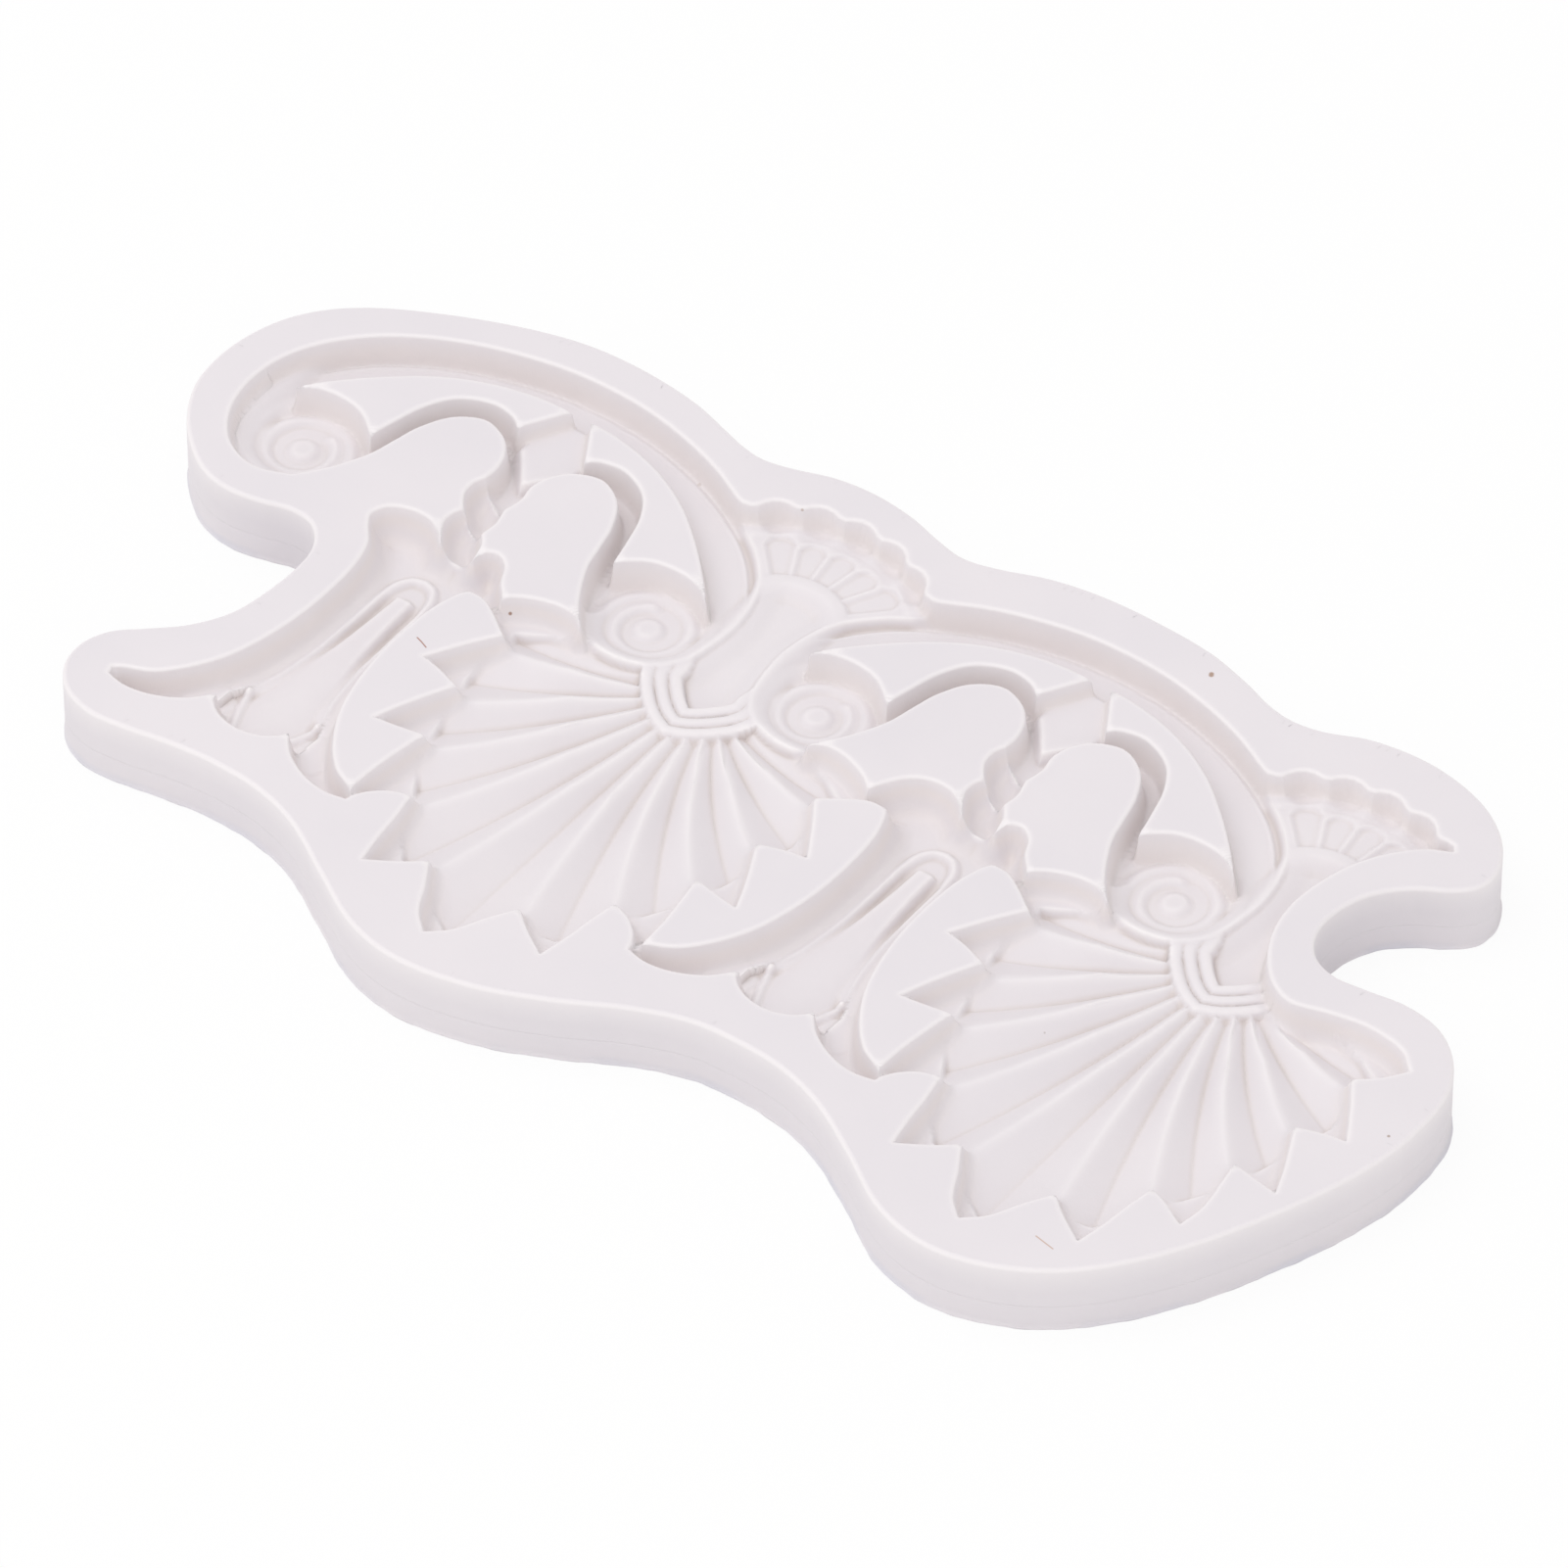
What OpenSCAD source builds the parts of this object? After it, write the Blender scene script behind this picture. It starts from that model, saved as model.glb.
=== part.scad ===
// Flexible casting mould for a running palmette border, two repeats long.
// X runs along the border, Y across it from the petal tips to the arches, Z up from the table.
// The cavity is open at the top. Every wall stands on one base sheet.

/* [Mould] */
// Height of the whole mould
mould_h = 8; // [7:0.5:14]
// Width of the rim round the cavity
rim_w = 4.7; // [3.6:0.1:7]

/* [Ornament] */
// Length of one repeat of the border
pitch = 64; // [60:0.5:72]
// Height of the border, from the lowest petal tip to the crown of the arch
border_w = 71.7; // [66:0.5:80]

/* [Cavity depths] */
// Depth from the top face to the flat beds of the cavity
cavity_d = 3.0; // [2.6:0.1:3.8]
// Further depth of the troughs under the beds
groove_d = 1.2; // [0.6:0.1:1.6]
// Material left under the deepest trough, above the base sheet
bed_t = 0.4; // [0.2:0.1:0.8]
// Height of the ribs and rings that stand on the beds
rib_h = 0.7; // [0.3:0.1:0.8]

/* [Petals] */
// Width of the rounded rib between two petals
rib_w = 0.9; // [0.6:0.1:1.2]
// Width of the widest petal trough
trough_w = 5.0; // [4:0.1:5.6]

/* [Scrolls] */
// Radius of the round recess of a volute
volute_r = 6.4; // [6:0.1:6.6]
// Radius of the raised ring inside a volute
ring_r = 3.9; // [3.4:0.1:4.4]
// Width of that ring
ring_w = 1.0; // [0.6:0.1:1.3]
// Radius of the eye of a volute
eye_r = 2.1; // [1.5:0.1:2.4]
// Width of the keeled channel along the arch
band_w = 2.6; // [1.8:0.1:3.2]
// Width of the channel along a stem
stem_w = 1.8; // [1.2:0.1:2.2]

/* [Shell] */
// Angle between two lobes of the shell
lobe_step = 15.6; // [14.5:0.1:16.5]
// How far each lobe bulges past the cusps beside it
lobe_bulge = 1.0; // [0.5:0.1:1.4]
// Depth of the fan panels under the bed
panel_d = 0.6; // [0.3:0.1:0.6]

/* [Hidden] */

silicone = [0.91, 0.89, 0.89];
edge_step = 1.5;
// Levels, from the table up
base_z = mould_h - cavity_d - groove_d - bed_t;
bed_z = mould_h - cavity_d;
bed_h = groove_d + bed_t;
wall_h = mould_h - base_z;
// The outlines below are drawn for a repeat of 64, a border of 71.7 and a rim of 4.7
drawn_pitch = 64;
drawn_border = 71.7;
drawn_rim = 4.7;
half = drawn_pitch / 2;
sx = pitch / drawn_pitch;
sy = border_w / drawn_border;
keel_lift = 0.02;
wall_gap = 0.05;
tenon_l = 0.1;
rib_root = groove_d + bed_t / 2;

// Outlines of half a repeat, from an arch axis at x = 0 to a palmette axis at x = 32.
// A third value of 1 marks a sharp corner, every other point lies on a smooth curve.
arch_top = [[0, 34.8], [5, 34.5], [10, 33.5], [15, 31.9], [19.6, 29.7]];
arch_low = [[19.6, 29.7], [24, 26.6], [27.4, 22.7], [29.3, 18.6], [29.7, 14],
    [28.7, 10], [26.6, 6.9], [24, 5.3], [21.3, 4.9]];
arch_in = [[1.2, 29.9, 1], [4, 29.8], [8, 29.1], [12, 27.7], [16, 25.5],
    [20, 22.3], [23.2, 19.2], [25.6, 16.5, 1]];
volute_lip = [[25.6, 16.5, 1], [23.8, 17.4], [21.3, 17.8], [18.2, 17.3], [15.2, 15.2, 1]];
stem_out = [[15.2, 15.2, 1], [14.5, 18.2], [13.4, 21.8], [11.5, 24.6], [8.3, 26.1],
    [5.6, 25.8], [4.2, 24.9, 1]];
stem_in = [[18, 6.1, 1], [16.3, 8.2], [14.9, 10.5], [13.6, 13.3], [12.9, 16.2],
    [12.1, 19.2], [10.3, 22.3], [7.4, 23.9], [4.6, 23.1], [2.8, 21.2], [2.1, 18.9]];
rope_right = [[2.1, 18.9], [2.4, 16.8], [2, 14.6, 1], [2.5, 12.5], [2.3, 10.6, 1],
    [3.3, 9.2], [3.8, 7.3, 1]];
rope_left = [[-2.1, 18.9], [-2.2, 17.2, 1], [-2.7, 15.9], [-2.5, 14.2], [-1.2, 12.3, 1],
    [-1.7, 11], [-1.6, 9.7], [-0.3, 7.3, 1]];
lobe_right = [[3.8, 7.3, 1], [4.3, 8.6], [5.6, 9.1], [7, 8.2], [8, 6.3], [9.6, 4.5, 1]];
lobe_left = [[-0.3, 7.3, 1], [-1.5, 8.3], [-3.2, 9.1], [-5.4, 9], [-7.4, 7.8], [-9.6, 4.5, 1]];
petal_a = [[9.6, 4.5, 1], [11.3, 5.7], [14, 6.7], [16.6, 6.8], [18, 6.1, 1]];
leaf_top = [[6.4, 3.4, 1], [8.3, 3.3], [10.2, 2.3], [13, 0.3, 1]];
petals_bcd = [[13, 0.3, 1], [11.3, -2.2], [9.9, -4.5], [8.6, -6.7, 1], [10.8, -7.1],
    [13.7, -8.1, 1], [12.3, -10.9], [11.1, -13.5], [10, -16.3, 1], [12.6, -15.9],
    [15.4, -15.4, 1], [14.9, -18.3], [14.4, -22]];
pendant_side = [[14.2, -25.7, 1], [11.3, -24.3], [8.8, -21.6], [6.7, -17.9], [5.4, -13.5],
    [4.7, -8.5], [4.65, -4], [4.95, -0.5], [5.7, 2.2], [6.4, 3.4, 1]];
petals_ef = [[32, -36.9, 1], [30, -35], [28.3, -31.8], [26.5, -28.9, 1], [24.2, -30.7],
    [21.2, -32.6, 1], [20.6, -29.3], [20.2, -26], [19.6, -22.8, 1], [17.4, -23.6], [15.8, -24.9]];
pendant_foot = [[14.9, -26.2, 1], [14.7, -27, 1], [12.4, -27.4], [9.6, -26.9], [6.6, -25.3],
    [4.5, -23, 1], [4.1, -23.9], [2.4, -25.1], [0, -25.6]];
// Ends of the strip: the left side of the first pendant, and the open neck and last petals
pendant_end = [[-14.9, -26.2, 1], [-14.2, -25.7], [-11.3, -24.3], [-8.8, -21.6], [-6.7, -17.9],
    [-5.4, -13.5], [-4.7, -8.5], [-4.6, -4], [-4.9, -0.2], [-5.8, 2.9], [-7.4, 5],
    [-8.1, 6.4], [-7.4, 8], [-5.4, 9], [-3.2, 9.1], [-1.5, 8.3], [-0.3, 7.3, 1]];
neck_end = [[105, 31.5, 1], [102.6, 30.2], [99.8, 27.2], [97.9, 23.6], [96.9, 19.8],
    [96.6, 16.2], [97.2, 12.6], [98.8, 9.2], [101.2, 6.5], [104.2, 5.2], [108.2, 6.2],
    [112.4, 6.9], [116.6, 6.3], [118.8, 4.5, 1], [117.3, 2.4], [115, 0.3, 1]];
petal_d_end = [[113.6, -22], [113.2, -25, 1], [112.2, -24.5], [110.6, -23.6], [108.4, -22.8, 1]];
outline = [[-34.7, 15], [-34.2, 19.7], [-32.7, 23.9], [-30, 27.6], [-26.2, 30.7], [-21, 33.6],
    [-15, 36.3], [-9, 38.3], [-4, 39.2], [2, 39.3], [8, 38.6], [12.5, 37.3], [15.5, 36.4],
    [18.2, 36.1], [21.3, 36.8], [25.5, 38.2], [30, 38.7], [35, 38.2], [39, 37.1], [42.5, 36.5],
    [46, 37.3], [51, 39.2], [56.5, 40.3], [63, 40.6], [70, 40.2], [75.5, 38.8], [79, 37.6],
    [82, 37.2], [85.2, 37.8], [89.5, 39.6], [95, 40.4], [100, 39.9], [104.4, 38.4],
    [108, 35.7], [110.1, 32.2], [110.2, 29.3], [108.4, 27], [105, 24.8], [102.3, 21.9],
    [101, 18.5], [101, 14.8], [102.6, 12.1], [105.5, 10.9], [109, 11.2], [113.5, 11.8],
    [118, 11], [121.6, 8.2], [123.8, 4], [124.3, -2], [123.5, -8], [121.7, -14], [119.3, -20],
    [116.4, -26], [112.6, -32], [108, -37], [102, -40.6], [95.5, -42], [89, -40.6],
    [82.5, -36.6], [76.5, -33.2], [71, -31.4], [65.5, -31], [60, -31.5], [54, -33.8],
    [47.5, -37.3], [40, -40.4], [32, -41.7], [25.5, -40.4], [19, -36.8], [12.5, -33], [7, -31.3],
    [1, -31], [-4, -31.5], [-9, -32.4], [-13, -32.7], [-16.8, -31.4], [-19.2, -28.6],
    [-19.7, -25.4], [-18.5, -22.3], [-16, -19.9], [-12.9, -16.9], [-10.6, -13], [-9.7, -8.5],
    [-9.5, -4], [-10.1, -0.8], [-12, 1.4], [-14.8, 1.8], [-18.5, 0.8], [-22, 0.4],
    [-25.3, 1.1], [-28.6, 3.2], [-31.8, 6.5], [-34, 10.6]];

// Shell: lobes on an arc between the ends of two arches, centred on the palmette axis
shell_r = 16.4;
shell_foot = [11.2, 29];
shell_c = [32, shell_foot.y - sqrt(shell_r * shell_r - shell_foot.x * shell_foot.x)];
shell_end = asin(shell_foot.x / shell_r);
open_end = asin(8.2 / shell_r);

// Collar: a V of three ridges round the root of the petals
collar_tip = [32, 0.9];
collar_ends = [[25.3, 7.2], [38.7, 7.2]];
collar_rise = 4.1;
collar_ridges = 3;

collar_inner = [28.9, 10.3];

// Neck of the shell and the reach of its panels
neck_keel = [[32, 7.4], [32, 12], [32, 17], [32, 21.4], [32, 25]];
neck_share = [0.3, 0.45, 0.55, 0.75, 1];
neck_w = 7.4;
fan_r = [9.6, 13.7];

// Scroll work of an arch, right half, and the pieces on the axis of the arch
volute_c = [21.4, 11.3];
disc_gap = 0.9;
hole_sides = 48;
band_keel = [[0, 32.3], [5, 32], [10, 30.9], [14.2, 29.2], [18, 27.1], [22, 23.9],
    [25.3, 20.6], [27.5, 17.2], [28.3, 13.6]];
stem_keel = [[4.4, 24], [6.6, 25], [9.3, 24.5], [11.6, 22.3], [12.9, 18.9], [13.9, 15.2],
    [14.7, 12.8]];
bead_line = [[19.3, 28.9], [23.5, 25.9], [26.7, 22.3], [28.6, 18.3], [29, 14], [28.1, 10.4],
    [26.1, 7.6]];
lozenge_w = 2.7;
lozenge_y = [29.4, 24.8, 17.6, 24.8];
rope_beads = [[0, 13.9], [1.2, 9.5]];
bead_half = [1.5, -1.1];
bead_w = 3.4;

// Pendant: keels and edges of its right half
tongue_keel = [[0, 1], [0, -6], [0, -12], [0, -18.6]];
tongue_share = [0.3, 0.45, 0.6, 1];
tongue_w = 4.6;
tongue_edge = [[0, 3.2], [1.7, 1.6], [2.4, -3], [2.6, -10], [3.5, -16], [5, -20], [6.6, -23.4]];
side_keel = [[3.7, 0.6], [3.7, -7], [4.4, -13.6], [6.4, -19], [9.2, -23], [12.4, -25.8]];
side_w = 1.3;
sepals = [[0, -23.6], [-2.5, -22.8], [2.5, -22.8]];

// Keels of the petals on the left of the palmette axis: root, bend, tip and share of the full width
petal_keels = [
    [[26.2, 6.4], [19.5, 3.6], [12.4, 3.3], 0.62],
    [[26.6, 4.6], [20.6, -0.6], [12.2, -4.3], 0.8],
    [[27.5, 3.1], [22, -5.2], [14.1, -11.8], 0.9],
    [[28.8, 1.9], [24.9, -9], [17.4, -19.6], 0.96],
    [[30.3, 1], [28.2, -13], [22.6, -28.3], 1],
    [[32, 0.6], [32, -16], [32, -33.5], 1],
];
// Ribs between those petals: root, bend and the land corner that each rib runs into
petal_ribs = [
    [[26, 5.6], [20, 1.4], [13.6, 0.5]],
    [[26.6, 3.8], [21.2, -3], [14.4, -8.3]],
    [[27.8, 2.4], [23.6, -7.6], [16, -15.7]],
    [[29.4, 1.4], [26.4, -11.6], [19.9, -22.9]],
    [[31.1, 0.8], [30.1, -14], [26.6, -29]],
];

// Curve helpers: chord-length tangents and cubic pieces, so that uneven points give even curves
function flat(p) = [p.x, p.y];
function sharp(p) = len(p) > 2;
function tangent(a, b, c, near) =
    norm(near) * (flat(c) - flat(a)) / (norm(flat(b) - flat(a)) + norm(flat(c) - flat(b)));
function piece(a, b, ta, tb, n) = [
    for (i = [0 : n - 1])
        let (s = i / n)
        (2 * pow(s, 3) - 3 * pow(s, 2) + 1) * a + (pow(s, 3) - 2 * pow(s, 2) + s) * ta
            + (3 * pow(s, 2) - 2 * pow(s, 3)) * b + (pow(s, 3) - pow(s, 2)) * tb
];
// A smooth closed loop through the points, with corners where they are marked
function loop(pts, step = edge_step) = [
    for (i = [0 : len(pts) - 1])
        let (
            n = len(pts),
            p = pts[(i + n - 1) % n],
            a = pts[i],
            b = pts[(i + 1) % n],
            q = pts[(i + 2) % n],
            d = flat(b) - flat(a),
            ta = sharp(a) ? d : tangent(p, a, b, d),
            tb = sharp(b) ? d : tangent(a, b, q, d)
        )
        each piece(flat(a), flat(b), ta, tb, max(1, round(norm(d) / step)))
];
// The same outline mirrored in the line x = axis, walked the other way
function mirrored(pts, axis = 0) = [
    for (i = [len(pts) - 1 : -1 : 0])
        concat([2 * axis - pts[i].x, pts[i].y], sharp(pts[i]) ? [1] : [])
];
function moved(pts, dx) = [for (p = pts) concat([p.x + dx, p.y], sharp(p) ? [1] : [])];
function reversed(pts) = [for (i = [len(pts) - 1 : -1 : 0]) pts[i]];
// Lists joined end to end. A point met twice is kept once, as a corner if either was one.
function joined(lists) =
    let (all = [for (l = lists) each l], n = len(all))
    [for (i = [0 : n - 1])
        let (last = all[(i + n - 1) % n], twice = norm(flat(all[i]) - flat(all[(i + 1) % n])) < 0.05)
        if (norm(flat(all[i]) - flat(last)) >= 0.05)
            twice && sharp(all[(i + 1) % n]) ? all[(i + 1) % n] : all[i]];
// From drawn sizes to the chosen pitch and border height
function placed(pts) = [for (p = pts) [p.x * sx, p.y * sy]];
// A loop pushed outwards by a distance, for a loop that runs clockwise
function pushed(pts, d) = [
    for (i = [0 : len(pts) - 1])
        let (n = len(pts), t = pts[(i + 1) % n] - pts[(i + n - 1) % n])
        pts[i] + d * [-t.y, t.x] / norm(t)
];
function bend(k, s) = (1 - s) * (1 - s) * k[0] + 2 * s * (1 - s) * k[1] + s * s * k[2];
function bend_dir(k, s) = 2 * (1 - s) * (k[1] - k[0]) + 2 * s * (k[2] - k[1]);

// Scalloped upper edge of a shell, from one arch to the next
function scallops(u, last) = [
    for (a = [-shell_end : lobe_step / 6 : last])
        let (r = shell_r + lobe_bulge * abs(cos(180 * a / lobe_step)))
        [shell_c.x + u * drawn_pitch + r * sin(a), shell_c.y + r * cos(a), 1]
];

// Edge of the whole cavity, clockwise from the foot of the first volute
function field_edge() = joined([
    mirrored(arch_low), mirrored(arch_top), arch_top,
    scallops(0, shell_end),
    moved(mirrored(arch_top), drawn_pitch), moved(arch_top, drawn_pitch),
    scallops(1, open_end),
    neck_end,
    [for (i = [1 : len(petals_bcd) - 2]) concat([4 * half - petals_bcd[i].x, petals_bcd[i].y],
        sharp(petals_bcd[i]) ? [1] : [])],
    petal_d_end,
    moved([for (i = [7 : -1 : 0]) concat([2 * half - petals_ef[i].x, petals_ef[i].y],
        sharp(petals_ef[i]) ? [1] : [])], drawn_pitch),
    moved(petals_ef, drawn_pitch), moved(pendant_foot, drawn_pitch),
    mirrored(pendant_foot, half), mirrored(petals_ef, half),
    petals_ef, pendant_foot,
    mirrored(pendant_foot), pendant_end,
    reversed(rope_left), mirrored(stem_in),
]);
function mirror_x(pts) = [for (p = pts) concat([-p.x, p.y], sharp(p) ? [1] : [])];

function crescent_edge() = joined([arch_in, volute_lip, stem_out]);
function bell_right_edge() = joined([stem_in, rope_right, lobe_right, petal_a]);
function bell_left_edge() = joined([
    mirror_x(stem_in), rope_left, lobe_left, mirror_x(petal_a)
]);
function leaf_edge() = joined([leaf_top, petals_bcd, pendant_side]);

// Edge of the mould, and the middle of its box, which is the origin
mould_edge = pushed(placed(loop(outline)), rim_w - drawn_rim);
mid_x = (min([for (p = mould_edge) p.x]) + max([for (p = mould_edge) p.x])) / 2;
mid_y = (min([for (p = mould_edge) p.y]) + max([for (p = mould_edge) p.y])) / 2;

module centred() {
    translate([-mid_x, -mid_y, 0])
        children();
}

// Flat shapes
module mould_shape() {
    polygon(mould_edge);
}

module field_shape() {
    polygon(placed(loop(field_edge())));
}

module drawn_shape(pts, u) {
    translate([u * pitch, 0])
        polygon(placed(loop(pts)));
}

module islands_shape() {
    for (u = [0, 1]) {
        drawn_shape(crescent_edge(), u);
        drawn_shape(mirror_x(crescent_edge()), u);
        drawn_shape(bell_right_edge(), u);
        drawn_shape(leaf_edge(), u);
    }
    drawn_shape(bell_left_edge(), 1);
    drawn_shape(mirror_x(leaf_edge()), 1);
}

module cavity_shape() {
    difference() {
        field_shape();
        islands_shape();
    }
}

// Regions that divide the floor of the cavity between the pieces of relief
module area(pts, u) {
    translate([u * pitch, 0])
        polygon(placed(pts));
}

function scroll_edge() = joined([
    [[-19.6, 50, 1], [19.6, 50, 1], [19.6, 29.7, 1]], arch_low,
    [[21.3, 4.9, 1], [18, 6.1, 1], [8, 12, 1], [2.6, 17.2, 1],
        [-2.6, 17.2, 1], [-8, 12, 1], [-18, 6.1, 1], [-21.3, 4.9, 1]],
    mirrored(arch_low), [[-19.6, 29.7, 1]],
]);

module scroll_area(u) {
    drawn_shape(scroll_edge(), u);
    if (u == 0)
        area([[-45, 2], [-18, 2], [-18, 50], [-45, 50]], 0);
}

module rope_area(u) {
    difference() {
        area([[-0.3, 7.3], [-1.5, 8.95], [-6, 11], [-6, 18], [6, 18], [6, 11], [3.9, 8.9],
            [3.8, 7.3]], u);
        scroll_area(u);
    }
}

module pendant_area(u) {
    difference() {
        union() {
            area([[-9.6, 4.5], [-9.6, 10], [9.6, 10], [9.6, 4.5], [6.4, 3.4], [6, -2], [6.6, -10],
                [8, -16.3], [11.5, -22.5], [14.2, -25.7], [14.8, -26.6], [16, -34],
                [-16, -34], [-14.8, -26.6], [-14.2, -25.7], [-11.5, -22.5], [-8, -16.3],
                [-6.6, -10], [-6, -2], [-6.4, 3.4]], u);
            if (u == 0)
                area([[-20, -34], [0, -34], [0, 10], [-20, 10]], 0);
        }
        rope_area(u);
        scroll_area(u);
    }
}

module collar_outline(u) {
    area([[24.8, 6.2], [28.4, 3.2], collar_tip, [35.6, 3.2], [39.2, 6.2], [41, 12],
        [35.6, 11.3], [32, collar_tip.y + collar_rise], [28.4, 11.3], [23, 12]], u);
}

module shell_outline(u) {
    area([[32, collar_tip.y + collar_rise], [35.6, 11.3], [41, 12], [50, 24], [50, 50],
        [14, 50], [14, 24], [23, 12], [28.4, 11.3]], u);
}

module collar_area(u) {
    difference() {
        collar_outline(u);
        scroll_area(u);
        scroll_area(u + 1);
    }
}

module shell_area(u) {
    difference() {
        shell_outline(u);
        scroll_area(u);
        if (u == 0)
            scroll_area(1);
    }
}

module palmette_area(u) {
    difference() {
        area([[0, -50], [u == 0 ? 64 : 80, -50], [u == 0 ? 64 : 80, 50], [0, 50]], u);
        for (v = [u, min(u + 1, 1)]) {
            scroll_area(v);
            rope_area(v);
            pendant_area(v);
        }
        collar_outline(u);
        shell_outline(u);
    }
}

// One region of the cavity floor, raised from the base sheet to the beds
module bed() {
    translate([0, 0, base_z])
        linear_extrude(bed_h)
            intersection() {
                cavity_shape();
                children();
            }
}

// Sections across a channel and a rib, x across the path and y up from the bed
function channel(w, d, step = 0) =
    [[-w / 2, keel_lift], [w / 2, keel_lift], [w / 2, -step], [0, -d], [-w / 2, -step]];
function bowl(w, d) = concat(
    [[-w / 2, keel_lift], [w / 2, keel_lift]],
    [for (a = [-30 : -30 : -150]) [w / 2 * cos(a), d * sin(a)]]
);
function rib(w, h) = concat(
    [[-w / 2, -rib_root], [w / 2, -rib_root]],
    [for (a = [30 : 40 : 150]) [w / 2 * cos(a), h * sin(a)]]
);
function heading(path, i) =
    let (d = flat(path[min(i + 1, len(path) - 1)]) - flat(path[max(i - 1, 0)]))
    atan2(d.y * sy, d.x * sx) - 90;

function station(path, i, section) =
    let (turn = heading(path, i))
    [for (q = section) [path[i].x * sx + q.x * cos(turn), path[i].y * sy + q.x * sin(turn),
        bed_z + q.y]];

function mean(v) = [for (q = v) 1] * v / len(v);
// The far end of one length, drawn half size and a little way into the next length
function tenon(path, i, end) =
    let (d = (flat(path[i + 1]) - flat(path[i])) / norm(flat(path[i + 1]) - flat(path[i])))
    [for (q = end) (q + mean(end)) / 2 + tenon_l * [d.x, d.y, 0]];

// A channel or rib that follows a path, with one section for each of its points.
// It is hulled length by length, and each length is let into the next one.
module run(path, sections) {
    for (i = [0 : len(path) - 2]) {
        start = station(path, i, sections[i]);
        end = station(path, i + 1, sections[i + 1]);
        points = concat(start, end, i < len(path) - 2 ? tenon(path, i + 1, end) : []);
        hull()
            polyhedron(points, [[for (k = [0 : len(points) - 1]) k]]);
    }
}

// The whole of a path that is symmetric about the line x = axis, from its right half
function whole(path, axis = 0) = concat(
    [for (i = [len(path) - 1 : -1 : 1]) [2 * axis - path[i].x, path[i].y]],
    path
);

// Left half of a symmetric relief and its mirror image in the line x = axis
module both_sides(axis = half) {
    children();
    translate([2 * axis * sx, 0])
        mirror([1, 0])
            children();
}

// Palmette: six keeled petals to each side with round ribs between them
petal_steps = 4;
function petal_share(s) = s < 0.7 ? 0.22 + 0.78 * sin(90 * s / 0.7) : sqrt(1 - pow((s - 0.7) / 0.31, 2));

module petal(k) {
    s = [for (i = [0 : petal_steps]) i / petal_steps];
    run([for (t = s) bend(k, t)],
        [for (t = s) channel(trough_w * k[3] * petal_share(t), groove_d * (0.55 + 0.45 * t),
            groove_d * 0.5 * petal_share(t))]);
}

module petal_rib(k) {
    s = [for (i = [0 : 3]) i / 3];
    run([for (t = s) bend(k, t)], [for (t = s) rib(rib_w * (0.7 + 0.5 * t), rib_h * (1 + 0.4 * t))]);
}

module palmette_bed(u) {
    difference() {
        bed()
            palmette_area(u);
        translate([u * pitch, 0]) {
            both_sides()
                for (i = [0 : len(petal_keels) - 2])
                    petal(petal_keels[i]);
            petal(petal_keels[len(petal_keels) - 1]);
        }
    }
    intersection() {
        translate([u * pitch, 0])
            both_sides()
                for (k = petal_ribs)
                    petal_rib(k);
        cavity_over()
            palmette_area(u);
    }
}

// Collar: three ridges that meet in a V at the root of the palmette
module collar_bed(u) {
    bed()
        collar_area(u);
    intersection() {
        for (i = [0 : collar_ridges - 1])
            let (
                t = (i + 0.5) / collar_ridges,
                tip = collar_tip + [0, collar_rise * t],
                end = (1 - t) * collar_ends[0] + t * collar_inner,
                far = [2 * half - end.x, end.y],
                arm = [far, (far + tip) / 2 + [-0.4, -0.5], tip],
                s = [for (j = [0 : 3]) j / 3]
            )
            translate([u * pitch, 0])
                run(whole([for (q = s) bend(arm, 1 - q)], half),
                    [for (i = [1 : 2 * len(s) - 1]) rib(collar_rise / collar_ridges * 0.7, rib_h)]);
        cavity_over()
            collar_area(u);
    }
}

// Space over one region, just clear of its walls, to trim what stands on its bed
module cavity_over() {
    translate([0, 0, base_z])
        linear_extrude(wall_h)
            offset(delta = -wall_gap)
                intersection() {
                    cavity_shape();
                    children();
                }
}

// Shell: a hollow neck that opens into a fan of panels between ridges
module shell_bed(u) {
    difference() {
        bed()
            shell_area(u);
        translate([u * pitch, 0]) {
            run(neck_keel, [for (i = [0 : len(neck_keel) - 1]) bowl(neck_w * neck_share[i],
                groove_d * 0.5)]);
            for (k = [-2 : 2])
                fan_panel(k * lobe_step);
        }
    }
    intersection() {
        translate([u * pitch, 0])
            for (k = [-3 : 2])
                fan_ridge((k + 0.5) * lobe_step);
        cavity_over()
            shell_area(u);
    }
}

module fan_panel(a) {
    hull()
        for (r = fan_r)
            translate([(shell_c.x + r * sin(a)) * sx, (shell_c.y + r * cos(a)) * sy, bed_z - panel_d])
                cylinder(h = panel_d + keel_lift, r = 0.62 * r * tan(lobe_step / 2), $fn = 20);
}

module fan_ridge(a) {
    r = [fan_r[0] - 1.2, (fan_r[0] + fan_r[1]) / 2, shell_r];
    run([for (q = r) shell_c + q * [sin(a), cos(a)]],
        [rib(0.4, rib_h * 0.3), rib(0.7, rib_h * 0.8), rib(1.1, rib_h)]);
}

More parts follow.
